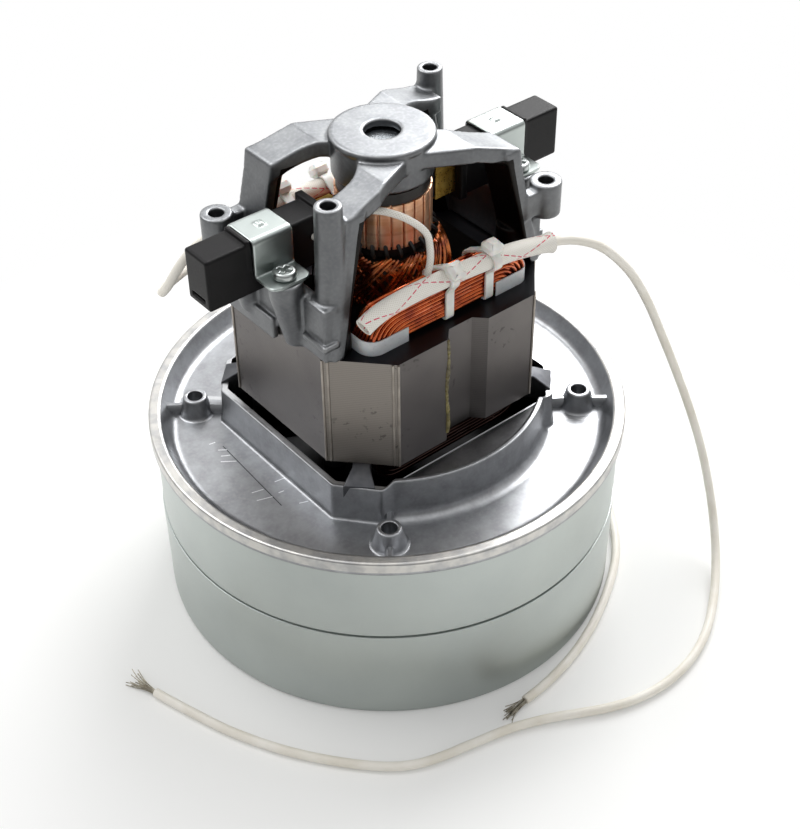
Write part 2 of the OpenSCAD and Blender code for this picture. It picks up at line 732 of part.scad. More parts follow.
module second_fan() {
    color("#c9ccce") translate([0, 0, second_fan_z]) fan();
}

module fan_washers() {
    for (top = [first_plate_top, second_plate_top], z = [top, top - fan_sheet - fan_washer_t])
        color("#9a9c9c") translate([0, 0, z]) ring(fan_washer_d, journal_d + 2 * slip, fan_washer_t);
}

module fan_spacer() {
    from = first_plate_top + fan_washer_t;
    to = second_plate_top - fan_sheet - fan_washer_t;
    color("#8f9292") translate([0, 0, from]) ring(fan_spacer_d, journal_d + 2 * slip, to - from);
}

module bearing_spacer() {
    from = second_plate_top + fan_washer_t;
    color("#8f9292") translate([0, 0, from])
        ring(bearing_spacer_d, journal_d + 2 * slip, bearing_lower_z - from);
}

module fan_nut() {
    z = first_plate_top - fan_sheet - fan_washer_t - nut_h;
    color("#8d8f8c") translate([0, 0, z]) difference() {
        cylinder(d = nut_flats / cos(30), h = nut_h, $fn = 6);
        translate([0, 0, -cut]) cylinder(d = journal_d + 2 * slip, h = nut_h + 2 * cut);
    }
}

// Base flange

module collar_outline() {
    polygon([for (s = [[-1, -1], [1, -1], [1, 1], [-1, 1]])
        each s[0] * s[1] > 0
            ? [[s[0] * collar_w / 2, s[1] * lobe_y], [s[0] * lobe_x, s[1] * lobe_reach]]
            : [[s[0] * lobe_x, s[1] * lobe_reach], [s[0] * collar_w / 2, s[1] * lobe_y]]]);
}

module collar_round() {
    intersection() {
        circle(collar_r, $fn = 128);
        square([2 * lobe_x, 2 * collar_r], center = true);
    }
}

module opening_outline() {
    corner = opening_x - (collar_w / 2 - lobe_x);
    polygon([for (s = [[-1, -1], [1, -1], [1, 1], [-1, 1]])
        each s[0] * s[1] > 0
            ? [[s[0] * opening_x, s[1] * (lobe_y - opening_inset)], [s[0] * corner, s[1] * opening_y]]
            : [[s[0] * corner, s[1] * opening_y], [s[0] * opening_x, s[1] * (lobe_y - opening_inset)]]]);
}

module flange_dish() {
    rotate_extrude($fn = 128) polygon(concat(
        [[0, floor_bottom], [spigot_r, floor_bottom], [spigot_r, lip_z]],
        arc([flange_r - rim_round, lip_z + rim_round], rim_round, -90, 0, 3),
        arc([flange_r - rim_round, lip_top - rim_round], rim_round, 0, 90, 3),
        arc([rim_in_r + rim_round, lip_top - rim_round], rim_round, 90, 160, 3),
        arc([rim_foot_r - dish_fillet / 2, floor_z + dish_fillet], dish_fillet, -30, -90, 3),
        [[0, floor_z]]));
}

module flange_ribs() {
    rib_in = collar_r - collar_wall / 2;
    for (i = [0:3]) rotate(boss_turn + 90 * i) {
        translate([rib_in, -rib_w / 2, floor_bottom])
            cube([rim_in_r + rim_round - rib_in, rib_w, floor_t + rib_h]);
        translate([boss_r, 0, floor_bottom]) cylinder(d = boss_base_d, h = floor_t);
        translate([boss_r, 0, floor_z]) cylinder(d1 = boss_base_d, d2 = boss_top_d, h = boss_h);
    }
}

module collar_solid() {
    translate([0, 0, floor_bottom]) {
        linear_extrude(floor_t + collar_flat_h) collar_outline();
        linear_extrude(floor_t + collar_h) collar_round();
    }
    intersection() {
        translate([0, 0, floor_z])
            cylinder(r1 = collar_r + collar_foot, r2 = collar_r - sink, h = collar_foot);
        translate([0, 0, floor_z]) linear_extrude(collar_foot)
            square([collar_w + 2 * sink, 4 * collar_r], center = true);
    }
}

module collar_hollow() {
    cavity_top = collar_top - shelf_drop - shelf_t;
    translate([0, 0, floor_bottom - cut]) linear_extrude(collar_top - floor_bottom + 2 * cut)
        opening_outline();
    translate([0, 0, floor_bottom - cut]) linear_extrude(cavity_top - floor_bottom + cut) intersection() {
        circle(collar_r - collar_wall);
        square([2 * (lobe_x - collar_wall), 2 * collar_r], center = true);
    }
    translate([0, 0, collar_top - shelf_drop]) linear_extrude(shelf_drop + cut) circle(collar_r - bead_w);
}

module bearing_spider() {
    arm_angle = atan2(bolt_y, bolt_x);
    arm_l = opening_x / cos(arm_angle) + collar_wall;
    translate([0, 0, lower_hub_z]) cylinder(d = lower_hub_d, h = bearing_lower_top - lower_hub_z + hub_over);
    for (a = [arm_angle, 180 - arm_angle, 180 + arm_angle, -arm_angle]) rotate(a)
        translate([0, -spider_w / 2, floor_bottom]) cube([arm_l, spider_w, spider_t]);
    translate([0, 0, floor_bottom]) {
        at_corners(bolt_x, bolt_y) cylinder(d = post_d, h = core_z - floor_bottom);
        at_corners(pad_x, pad_y) cylinder(d = pad_d, h = core_z - floor_bottom);
    }
}

module base_flange() {
    color("#c4c7c8") difference() {
        union() {
            difference() {
                union() {
                    flange_dish();
                    flange_ribs();
                    collar_solid();
                }
                collar_hollow();
            }
            bearing_spider();
        }
        for (i = [0:3]) rotate(boss_turn + 90 * i)
            translate([boss_r, 0, floor_bottom - cut])
                cylinder(d = boss_hole_d, h = boss_top - floor_bottom + 2 * cut);
        translate([0, 0, bearing_lower_z]) cylinder(d = bearing_seat_d, h = bearing_w + 2 * cut);
        translate([0, 0, lower_hub_z - cut])
            cylinder(r = ball_pitch_r, h = bearing_lower_z - lower_hub_z + 2 * cut);
        translate([0, 0, floor_bottom - cut]) at_corners(bolt_x, bolt_y)
            cylinder(d = core_bolt_d + 2 * bolt_gap, h = core_z - floor_bottom + 2 * cut);
    }
}

// Rotor

module shaft() {
    color("#b4b6b6") {
        translate([0, 0, shaft_bottom]) cylinder(d = journal_d, h = bearing_upper_top - shaft_bottom);
        translate([0, 0, bearing_lower_top]) cylinder(d = shaft_d, h = bearing_upper_z - bearing_lower_top);
    }
}

module armature_core() {
    color("#5d5a58") translate([0, 0, core_z]) linear_extrude(core_h) difference() {
        circle(d = armature_d);
        circle(d = shaft_d + 2 * slip);
        for (i = [0:slots - 1]) rotate(360 * i / slots) {
            translate([slot_root, -slot_w / 2]) square([slot_top - slot_root, slot_w]);
            translate([slot_root, -mouth_w / 2]) square([armature_d, mouth_w]);
        }
    }
}

// Places on the domed upper end winding: t runs from its foot to the hooks, lift stands off the body
function dome(t, lift) = [end_in_r + (end_out_r - end_in_r) * cos(90 * t) + lift * cos(90 * t),
    core_top + seat_gap + (end_up - seat_gap - strand_d) * sin(90 * t) + lift * sin(90 * t)];
strand_turns = bars;
strand_lay = 0.45;
strand_from = 0.16;
strand_run = 0.8;
strand_path = [for (i = [0:2 * strand_turns - 1]) for (k = [0:strand_steps - 1])
    let (t = strand_from + strand_run * (i % 2 == 0 ? k : strand_steps - 1 - k) / (strand_steps - 1),
        q = dome(t, strand_d / 2 + strand_lay),
        a = 180 * i / strand_turns * (1 - 0.5 / strand_turns) + strand_skew * t)
    [q[0] * cos(a), q[0] * sin(a), q[1]]];

module armature_winding() {
    body_foot = core_top + seat_gap;
    foot = core_z - end_down;
    bar_over = 1;
    color("#8f4a2c") {
        union() {
            rotate_extrude() polygon(concat(
                [[bar_root_r, body_foot]],
                [for (k = [0:6]) dome(k / 6, 0)],
                [[bar_root_r, dome(1, 0)[1]]]));
            translate([0, 0, foot]) rotate_extrude() polygon([[bar_root_r, 0], [end_out_r - end_round, 0],
                [end_out_r, end_round], [end_out_r, end_down - seat_gap],
                [bar_root_r, end_down - seat_gap]]);
            for (i = [0:slots - 1]) rotate(360 * i / slots)
                translate([slot_root + seat_gap, seat_gap - slot_w / 2, core_z - end_down / 2])
                    cube([slot_top - slot_root - 2 * seat_gap, slot_w - 2 * seat_gap,
                        core_h + end_down / 2 + bar_over]);
        }
        swept_tube(strand_path, [for (i = [0:len(strand_path) - 1])
            squared(heading(strand_path, i), strand_path[i] - [0, 0, core_top])], strand_d, wire_sides);
    }
    echo(end_winding_least_gap = least_gap(strand_path, strand_d, strand_steps + 2));
}

module commutator_bars() {
    pitch = 360 / bars;
    gap_angle = bar_gap / commutator_r * 180 / PI;
    hook_top = bar_z + hook_up;
    hook_in = commutator_r - hook_root;
    for (i = [0:bars - 1]) color("#b87a4a") rotate(i * pitch)
        rotate_extrude(angle = pitch - gap_angle) polygon([[bar_root_r, bar_z], [bar_root_r, bar_top],
            [commutator_r, bar_top], [commutator_r, hook_top], [commutator_r + hook_out, hook_top],
            [commutator_r + hook_out, hook_top - hook_h], [hook_in, hook_top - hook_h], [hook_in, bar_z]]);
}

module commutator_hub() {
    hub_in = shaft_d / 2 + slip;
    sleeve_r = bar_root_r - seat_gap;
    flange = commutator_r - hook_root - seat_gap;
    ring_r = commutator_r - ring_in;
    color("#26221f") rotate_extrude() polygon([[hub_in, end_top + hub_gap], [flange, end_top + hub_gap],
        [flange, bar_z - seat_gap], [sleeve_r, bar_z - seat_gap], [sleeve_r, bar_top + seat_gap],
        [ring_r, bar_top + seat_gap], [ring_r, bar_top + ring_h], [hub_in, bar_top + ring_h]]);
}

// Ball bearings

module race_groove() {
    rotate_extrude() translate([ball_pitch_r, 0]) circle(groove_r);
}

module inner_race(z) {
    color("#a9adb0") difference() {
        translate([0, 0, z]) ring(journal_d + 2 * race_t, journal_d + 2 * slip, bearing_w);
        translate([0, 0, z + bearing_w / 2]) race_groove();
    }
}

module outer_race(z) {
    color("#a9adb0") difference() {
        translate([0, 0, z]) ring(bearing_d, bearing_d - 2 * race_t, bearing_w);
        translate([0, 0, z + bearing_w / 2]) race_groove();
    }
}

module ball_set(z) {
    cage_in = journal_d + 2 * race_t + 4 * run_gap;
    cage_out = bearing_d - 2 * race_t - 4 * run_gap;
    cage_z = ball_d / 2 + run_gap;
    cage_bar = 1;
    translate([0, 0, z + bearing_w / 2]) {
        for (i = [0:balls - 1]) rotate(360 * i / balls) translate([ball_pitch_r, 0])
            color("#c8ccd0") sphere(d = ball_d);
        color("#6e5a34") {
            translate([0, 0, cage_z]) ring(cage_out, cage_in, bearing_w / 2 - cage_z - 2 * run_gap);
            for (i = [0:balls - 1]) rotate(360 * (i + 0.5) / balls)
                translate([cage_in / 2 + run_gap, -cage_bar / 2, -cage_z / 2])
                    cube([(cage_out - cage_in) / 2 - 2 * run_gap, cage_bar, 2 * cage_z - run_gap]);
        }
    }
}

module wave_washer() {
    color("#8e9294") translate([0, 0, bearing_upper_top + seat_gap / 2])
        ring(bearing_d - 2 * seat_gap, bearing_d - 2 * race_t, wave_t);
}

// Field core and coils

module core_outline() {
    x = core_x / 2;
    y = core_y / 2;
    difference() {
        polygon([[-x, -y + cut_y], [-x + cut_x, -y], [x - cut_x, -y], [x, -y + cut_y],
            [x, y - cut_y], [x - cut_x, y], [-x + cut_x, y], [-x, y - cut_y]]);
        opposite() polygon([[-groove_w / 2 - cut, -y - cut], [groove_w / 2 + cut, -y - cut],
            [groove_w / 2 - groove_depth, -y + groove_depth],
            [-groove_w / 2 + groove_depth, -y + groove_depth]]);
    }
}

module pole() {
    shoe_r = bore_d / 2 + shoe_t;
    reach = 2 * bore_d;
    translate([-neck_half, -slot_y - cut]) square([2 * neck_half, slot_y + cut]);
    intersection() {
        circle(shoe_r);
        polygon([[0, 0], [-reach * sin(shoe_angle), -reach * cos(shoe_angle)], [0, -2 * reach],
            [reach * sin(shoe_angle), -reach * cos(shoe_angle)]]);
    }
}

module field_core() {
    color("#4a4642") translate([0, 0, core_z]) linear_extrude(core_h) difference() {
        core_outline();
        difference() {
            rounded_square(slot_x, slot_y, slot_r);
            opposite() pole();
        }
        circle(d = bore_d);
        at_corners(bolt_x, bolt_y) circle(d = core_bolt_d + 2 * bolt_gap);
    }
}

module slot_liners_front() {
    film_x = slot_x - seat_gap;
    film_y = slot_y - seat_gap;
    film_r = slot_r - seat_gap;
    color("#e9e9e4") translate([0, 0, core_z]) linear_extrude(core_h + liner_up) intersection() {
        difference() {
            rounded_square(film_x, film_y, film_r);
            rounded_square(film_x - liner_t, film_y - liner_t, film_r - liner_t);
        }
        for (s = [-1, 1]) translate([s * (neck_half + seat_gap + slot_x) / 2, -slot_y])
            square([slot_x - neck_half - seat_gap, 2 * (slot_y - coil_y)], center = true);
    }
}

module slot_liners_back() {
    rotate(180) slot_liners_front();
}

// Stations of one turn of a coil: two straight sides, two end turns and four round corners
function quarter_up(a, b, c, m) = m == 0 ? [a, 0] : m == quarter_steps - 1 ? [(a - c) / 2, b]
    : let (turn = corner_turn * (m - 1)) [a - c + c * cos(turn), b - c + c * sin(turn)];
function quarter_over(a, b, c, m) = m == 0 ? [0, b] : m == quarter_steps - 1 ? [-a, (b - c) / 2]
    : let (turn = corner_turn * (m - 1)) [c - a - c * sin(turn), b - c + c * cos(turn)];
function turn_point(grow, k) =
    let (a = coil_in + grow, b = core_h / 2 + coil_end_gap + grow, c = coil_corner + grow,
        q = floor(k / quarter_steps) % 4, m = k % quarter_steps,
        p = q % 2 == 0 ? quarter_up(a, b, c, m) : quarter_over(a, b, c, m))
    q < 2 ? p : -p;
function coil_point(grow, y, k) =
    let (p = turn_point(grow, k), reach = abs(turn_point(coil_w / 2, k)[1]) - core_h / 2 + lean_depth)
    [p[0], -y - coil_lean * ease(reach / lean_run), core_mid + p[1]];

face_pitch = coil_w / face_turns;
rim_pitch = coil_t / rim_turns;
// Gap from the outer layer of wire to the bundle inside it, at the rim and at the outward face
lay_gap = 0.65;
face_lay = 0.95;
coil_path = [for (i = [0:(face_turns + rim_turns) * loop_steps])
    let (turn = i / loop_steps,
        grow = min(wire_d / 2 + face_pitch * turn, coil_w + lay_gap + wire_d / 2),
        y = coil_y + coil_t + wire_d / 2 - rim_pitch * max(turn - face_turns, 0))
    coil_point(grow, y, i % loop_steps)];

module coil_bundle() {
    face = coil_y + coil_t - face_lay;
    rim = [[0, face], [coil_w, face], [coil_w, coil_y], [0, coil_y]];
    sides = len(rim);
    points = [for (k = [0:loop_steps - 1]) for (r = rim) coil_point(r[0], r[1], k)];
    faces = [for (k = [0:loop_steps - 1]) for (j = [0:sides - 1])
        let (a = k * sides + j, b = k * sides + (j + 1) % sides,
            c = (k + 1) % loop_steps * sides + j, d = (k + 1) % loop_steps * sides + (j + 1) % sides)
        each [[a, c, b], [b, c, d]]];
    polyhedron(points = points, faces = faces);
}

module field_coil_front() {
    color("#a8542f") {
        coil_bundle();
        swept_tube(coil_path,
            [for (i = [0:len(coil_path) - 1]) unit(cross(heading(coil_path, i), [0, 1, 0]))],
            wire_d, wire_sides);
    }
    echo(field_coil_least_gap = least_gap(coil_path, wire_d, loop_steps / 2));
}

module field_coil_back() {
    rotate(180) field_coil_front();
}

module coil_sleeve_front() {
    color("#ecebe6") routed_tube(sleeve_route, 2, sleeve_d, lead_sides);
}

module coil_sleeve_back() {
    rotate(180) coil_sleeve_front();
}

// A tie's band goes round the end turn and the sleeve that lies on it
tie_places = [-1.5, 13];
// Turn of each tie's head about the sleeve, towards the front
tie_turns = [40, 6];
sleeve_line = [for (p = sleeve_route) [p[0], p[1]]];
sleeve_height = [for (p = sleeve_route) [p[0], p[2]]];
module tie_band(x, grow) {
    front = coil_y + coil_t + coil_lean + wire_d + seat_gap + grow;
    back = coil_y + coil_lean - seat_gap - grow;
    low = core_top + coil_end_gap - seat_gap - grow;
    high = core_top + coil_end_gap + coil_w + lay_gap + wire_d + seat_gap;
    bend = high - sleeve_d;
    round_r = sleeve_d / 2 + 2 * seat_gap + grow;
    polygon(concat([[-front, bend], [-front, low], [-back, low], [-back, high + grow]],
        arc([lookup(x, sleeve_line), lookup(x, sleeve_height)], round_r, 60, 210)));
}

module cable_ties_front() {
    for (i = [0:len(tie_places) - 1]) let (x = tie_places[i]) color("#f0efe9") union() {
        translate([x - tie_w / 2, 0, 0]) rotate([90, 0, 90]) linear_extrude(tie_w) difference() {
            tie_band(x, tie_t);
            tie_band(x, 0);
        }
        translate([x, lookup(x, sleeve_line), lookup(x, sleeve_height)]) rotate([tie_turns[i], 0, 0])
            translate([-tie_head / 2, -tie_head / 2, sleeve_d / 2 + 2 * seat_gap])
                cube([tie_head, tie_head, tie_head_h]);
    }
}

module cable_ties_back() {
    rotate(180) cable_ties_front();
}

module brush_jumper_front() {
    color("#dedbd2") routed_tube(jumper_route, 2, jumper_d, lead_sides);
}

module brush_jumper_back() {
    rotate(180) brush_jumper_front();
}

// Top bracket

module arm(tip) {
    l = norm(tip);
    rotate(atan2(tip[1], tip[0])) intersection() {
        translate([0, 0, housing_z]) linear_extrude(housing_h)
            polygon([[0, -arm_root_w / 2], [l, -arm_tip_w / 2], [l, arm_tip_w / 2], [0, arm_root_w / 2]]);
        translate([0, arm_root_w, 0]) rotate([90, 0, 0]) linear_extrude(2 * arm_root_w)
            polygon([[0, arm_top], [arm_level, arm_top], [l, arm_top - arm_fall],
                [l, arm_top - arm_fall - arm_t], [arm_level, arm_top - arm_t], [0, arm_top - arm_t]]);
    }
}

module leg(y) {
    translate([0, y + leg_w / 2, 0]) rotate([90, 0, 0]) linear_extrude(leg_w)
        polygon([[leg_top_x, leg_top_z], [leg_foot_x, core_top], [leg_foot_x - leg_t, core_top],
            [leg_top_x - leg_t, leg_top_z]]);
}

module bracket_side() {
    web_x = leg_top_x + leg_t;
    arm([leg_top_x + arm_over, -leg_y]);
    arm([tall_x, tall_y]);
    leg(-leg_y);
    leg(leg_y);
    translate([wall_x - wall_t, -leg_y - leg_w / 2, core_top])
        cube([wall_t, 2 * leg_y + leg_w, holder_up - seat_gap]);
    translate([core_x / 2 + seat_gap, -skirt_end, core_top - skirt_drop])
        cube([skirt_t, skirt_l, skirt_drop + skirt_up]);
    translate([tall_x, tall_y, core_top]) cylinder(d1 = tall_base_d, d2 = tall_top_d, h = tall_up);
    for (s = [-1, 1]) translate([bolt_x, s * bolt_y, core_top])
        cylinder(d = tall_base_d, h = core_bolt_grip + bolt_end_room + bolt_cover);
    translate([low_x, -low_y, core_top + low_up - low_h]) cylinder(d = low_d, h = low_h);
    translate([web_x, -low_y - low_web_t / 2, core_top + low_up - low_h + low_web_in])
        cube([low_x - web_x, low_web_t, low_h - 2 * low_web_in]);
    for (s = [-1, 1]) translate([strap_x, s * strap_screw_y, core_top])
        cylinder(d = strap_boss_d, h = foot_up);
}

module bracket_side_holes() {
    bolt_hole = core_bolt_d + 2 * slip;
    translate([tall_x, tall_y, core_top + tall_up - tall_hole_depth])
        cylinder(d = tall_hole_d, h = tall_hole_depth + cut);
    for (s = [-1, 1]) translate([bolt_x, s * bolt_y, core_top - cut])
        cylinder(d = bolt_hole, h = core_bolt_grip + bolt_end_room + cut);
    translate([low_x, -low_y, core_top + low_up - low_h - cut])
        cylinder(d = low_hole_d, h = low_h + 2 * cut);
    for (s = [-1, 1]) translate([strap_x, s * strap_screw_y, foot_z - screw_l])
        cylinder(d = screw_d + 2 * slip, h = screw_l + cut);
}

module top_bracket() {
    color("#bfc2c2") difference() {
        union() {
            translate([0, 0, housing_z]) cylinder(d = housing_d, h = housing_h);
            translate([0, 0, cap_top - cap_t]) cylinder(d = cap_d, h = cap_t);
            opposite() bracket_side();
        }
        translate([0, 0, housing_z - cut]) cylinder(d = bearing_seat_d, h = housing_h - cap_t + cut);
        translate([0, 0, housing_z]) cylinder(d = cap_hole_d, h = housing_h + cut);
        opposite() bracket_side_holes();
        translate([0, 0, core_top - cut]) linear_extrude(liner_up + seat_gap + cut)
            rounded_square(slot_x, slot_y, slot_r);
    }
}

// Brush gear, drawn on the right and turned for the left

module brush_holder_right() {
    end_slot = 1;
    slot_margin = 2;
    color("#1d1c20") difference() {
        union() {
            translate([holder_in, -holder_w / 2, holder_z])
                cube([holder_out - holder_in, holder_w, holder_h]);
            translate([holder_in, -holder_lip_w / 2, holder_z])
                cube([holder_lip, holder_lip_w, holder_h + holder_lip_up]);
            translate([strap_x + strap_w / 2 + seat_gap, -holder_w / 2, holder_top - sink])
                cube([ridge_w, holder_w, sink + strap_t]);
        }
        translate([holder_in - cut, -tube_w / 2 - seat_gap, brush_mid - tube_h / 2 - seat_gap])
            cube([tube_end - holder_in + cut + seat_gap, tube_w + 2 * seat_gap, tube_h + 2 * seat_gap]);
        translate([holder_out - end_slot, slot_margin - holder_w / 2, holder_z + slot_margin])
            cube([end_slot + cut, holder_w - 2 * slot_margin, end_slot]);
    }
}

module brush_holder_left() {
    rotate(180) brush_holder_right();
}

module brush_tube_right() {
    color("#b99a4b") translate([tube_in, 0, brush_mid]) difference() {
        translate([0, -tube_w / 2, -tube_h / 2]) cube([tube_end - tube_in, tube_w, tube_h]);
        translate([-cut, tube_wall - tube_w / 2, tube_wall - tube_h / 2])
            cube([tube_end - tube_in + 2 * cut, tube_w - 2 * tube_wall, tube_h - 2 * tube_wall]);
    }
}

module brush_tube_left() {
    rotate(180) brush_tube_right();
}

module carbon_brush_right() {
    color("#2b2b2d") difference() {
        translate([0, -brush_w / 2, brush_mid - brush_h / 2]) cube([brush_back, brush_w, brush_h]);
        translate([0, 0, brush_mid - brush_h]) cylinder(r = brush_face, h = 2 * brush_h);
    }
}

module carbon_brush_left() {
    rotate(180) carbon_brush_right();
}

spring_from = brush_back + seat_gap + spring_wire / 2;
spring_to = tube_end - spring_wire / 2;
spring_path = [for (i = [0:spring_curls * curl_steps])
    let (a = 360 * i / curl_steps, r = (spring_d - spring_wire) / 2, way = i / (spring_curls * curl_steps))
    [spring_from + (spring_to - spring_from) * way, r * cos(a), brush_mid + r * sin(a)]];

module brush_spring_right() {
    color("#9b9d9e") swept_tube(spring_path,
        [for (i = [0:len(spring_path) - 1]) unit(cross(heading(spring_path, i), [1, 0, 0]))],
        spring_wire, wire_sides);
    echo(brush_spring_least_gap = least_gap(spring_path, spring_wire, curl_steps - 1));
}

module brush_spring_left() {
    rotate(180) brush_spring_right();
}

module brush_strap_right() {
    half = strap_in_half + strap_t;
    color("#dfe5e6") translate([strap_x - strap_w / 2, 0, 0]) difference() {
        union() {
            translate([0, -half, strap_top - strap_t]) cube([strap_w, 2 * half, strap_t]);
            for (s = [-1, 1]) {
                translate([0, s * (strap_in_half + strap_t / 2) - strap_t / 2, foot_z])
                    cube([strap_w, strap_t, strap_top - foot_z]);
                translate([0, s * (strap_in_half + foot_l / 2) - foot_l / 2, foot_z])
                    cube([strap_w, foot_l, strap_t]);
            }
            translate([(strap_w - dimple_l) / 2, -dimple_w / 2, strap_top])
                cube([dimple_l, dimple_w, dimple_h]);
        }
        for (s = [-1, 1]) translate([strap_w / 2, s * strap_screw_y, foot_z - cut])
            cylinder(d = screw_d + 2 * bolt_gap, h = strap_t + 2 * cut);
    }
}

module brush_strap_left() {
    rotate(180) brush_strap_right();
}

module strap_screw() {
    recess_turn = 30;
    difference() {
        union() {
            translate([0, 0, bolt_gap - screw_l]) cylinder(d = screw_d, h = screw_l + strap_t - bolt_gap);
            translate([0, 0, strap_t]) cylinder(d = screw_head_d, h = screw_head_h);
        }
        for (a = [0, 90]) rotate(a + recess_turn)
            translate([-recess_l / 2, -recess_w / 2, strap_t + screw_head_h - recess_depth])
                cube([recess_l, recess_w, recess_depth + cut]);
    }
}

module strap_screws() {
    for (i = [-1, 1], j = [-1, 1]) color("#c9cdca")
        translate([i * strap_x, j * strap_screw_y, foot_z]) strap_screw();
}

module core_bolts() {
    for (i = [-1, 1], j = [-1, 1]) color("#9fa2a2") translate([i * bolt_x, j * bolt_y, floor_bottom]) {
        translate([0, 0, -core_bolt_head_h]) cylinder(d = core_bolt_head_d, h = core_bolt_head_h);
        cylinder(d = core_bolt_d, h = core_bolt_top - floor_bottom);
    }
}

// Leads

module lead_front() {
    color("#e6e0d2") routed_tube(lead_front_route, 1, lead_d, lead_sides);
}

module lead_back() {
    color("#e6e0d2") routed_tube(lead_back_route, 1, lead_d, lead_sides);
}

module lead_front_strands() {
    color("#b9b4a8") routed_tube(front_bare_route, 2, bare_d, lead_sides, bare_d / 2);
}

module lead_back_strands() {
    color("#b9b4a8") routed_tube(back_bare_route, 2, bare_d, lead_sides, bare_d / 2);
}

lower_casing();
upper_casing();
stage_divider();
first_fan();
second_fan();
fan_washers();
fan_spacer();
bearing_spacer();
fan_nut();
base_flange();
shaft();
armature_core();
armature_winding();
commutator_bars();
commutator_hub();
inner_race(bearing_lower_z);  // lower_inner_race
ball_set(bearing_lower_z);  // lower_ball_set
outer_race(bearing_lower_z);  // lower_outer_race
inner_race(bearing_upper_z);  // upper_inner_race
ball_set(bearing_upper_z);  // upper_ball_set
outer_race(bearing_upper_z);  // upper_outer_race
wave_washer();
field_core();
field_coil_front();
field_coil_back();
slot_liners_front();
slot_liners_back();
coil_sleeve_front();
coil_sleeve_back();
cable_ties_front();
cable_ties_back();
brush_jumper_front();
brush_jumper_back();
top_bracket();
brush_holder_left();
brush_holder_right();
brush_tube_left();
brush_tube_right();
carbon_brush_left();
carbon_brush_right();
brush_spring_left();
brush_spring_right();
brush_strap_left();
brush_strap_right();
strap_screws();
core_bolts();
lead_front();
lead_back();
lead_front_strands();
lead_back_strands();
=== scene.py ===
"""Looks of a two-stage vacuum cleaner motor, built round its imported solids. Shapes are in millimetres."""
import math

import bpy
import numpy as np
from mathutils import Matrix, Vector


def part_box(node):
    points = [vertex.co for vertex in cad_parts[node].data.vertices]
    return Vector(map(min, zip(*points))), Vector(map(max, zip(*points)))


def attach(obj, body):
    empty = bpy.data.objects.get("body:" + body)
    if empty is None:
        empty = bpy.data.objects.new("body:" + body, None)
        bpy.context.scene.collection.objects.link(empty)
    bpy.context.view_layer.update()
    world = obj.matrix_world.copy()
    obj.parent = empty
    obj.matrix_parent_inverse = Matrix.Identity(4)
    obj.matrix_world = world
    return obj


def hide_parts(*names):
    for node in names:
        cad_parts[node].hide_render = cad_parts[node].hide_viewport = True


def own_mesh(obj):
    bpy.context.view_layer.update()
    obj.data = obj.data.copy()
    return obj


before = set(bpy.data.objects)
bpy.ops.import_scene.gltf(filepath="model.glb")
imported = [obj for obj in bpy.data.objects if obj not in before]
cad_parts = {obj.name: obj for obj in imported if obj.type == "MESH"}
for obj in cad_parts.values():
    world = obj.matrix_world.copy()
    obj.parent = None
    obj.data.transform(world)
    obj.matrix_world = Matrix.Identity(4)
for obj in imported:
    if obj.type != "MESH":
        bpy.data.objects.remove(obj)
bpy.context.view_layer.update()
MM = 0.001


def span(node):
    """Lowest and highest corner of a solid, in millimetres."""
    low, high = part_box(node)
    return np.array(low) / MM, np.array(high) / MM


# Sizes taken from the solids

CASING_R, _, CASING_TOP = span("lower_casing")[1]
UPPER_LOW, UPPER_HIGH = span("upper_casing")
RIM_R = span("base_flange")[1][0]
CORE_LOW, CORE_HIGH = span("field_core")
STRAP_LOW, STRAP_HIGH = span("brush_strap_right")
BARS_HIGH = span("commutator_bars")[1]
CAP_TOP = span("top_bracket")[1][2]
CORE_FOOT, CORE_TOP = CORE_LOW[2], CORE_HIGH[2]
CORE_MID = (CORE_FOOT + CORE_TOP) / 2

# Numbers that the solids share

WALL = 0.9
INLET_R = 23.0
INLET_LIP = 3.2
SEAM_GAP = 0.5
JOGGLE_R = 71.05
FLOOR_Z = 59.0
FLOOR_UNDER = 56.0
BOSS_PITCH_R = 59.0
BOSS_TURN = math.radians(-38.5)
BEARING_R = 11.2
BOLT_X, BOLT_Y = 33.4, 17.5
STRAP_SCREW_X, STRAP_SCREW_Y = 41.6, 10.3
TALL_BOSS, LOW_BOSS = (33.4, 19.5), (40.3, -23.0)
BRUSH_Z, STRAP_T = 135.75, 0.9
AXIS = 0.0, 0.0
QUARTERS = [(x, y) for x in (-1, 1) for y in (-1, 1)]
ENDS = {"front": 0.0, "back": math.pi}

# Shapes


def unit(v):
    """Vectors of length one."""
    return v / np.maximum(np.linalg.norm(v, axis=-1, keepdims=True), 1e-9)


def ease(t):
    """Runs smoothly from 0 to 1: 3t^2 - 2t^3."""
    t = np.clip(t, 0, 1)
    return t * t * (3 - 2 * t)


def rounded(corners, reach, steps=5, closed=False):
    """A line through corners, each turned round by the curve (1-t)^2 a + 2t(1-t) c + t^2 b.

    a and b lie reach before and after the corner c, and one more point beyond each keeps flats flat."""
    c = np.asarray(corners, float)
    if closed:
        c = np.concatenate([c[..., -1:, :], c, c[..., :1, :]], axis=-2)
    way = unit(np.diff(c, axis=-2))
    room = 0.45 * np.linalg.norm(np.diff(c, axis=-2), axis=-1)
    mid = c[..., 1:-1, None, :]
    r = np.minimum(np.asarray(reach, float), np.minimum(room[..., :-1], room[..., 1:]))[..., None, None]
    back, on = way[..., :-1, None, :] * r, way[..., 1:, None, :] * r
    t = np.linspace(0, 1, steps + 1)[:, None]
    curve = mid - (1 - t) ** 2 * back + t ** 2 * on
    line = np.concatenate([mid - 1.1 * back, curve, mid + 1.1 * on], axis=-2)
    line = line.reshape(*c.shape[:-2], -1, c.shape[-1])
    return line if closed else np.concatenate([c[..., :1, :], line, c[..., -1:, :]], axis=-2)


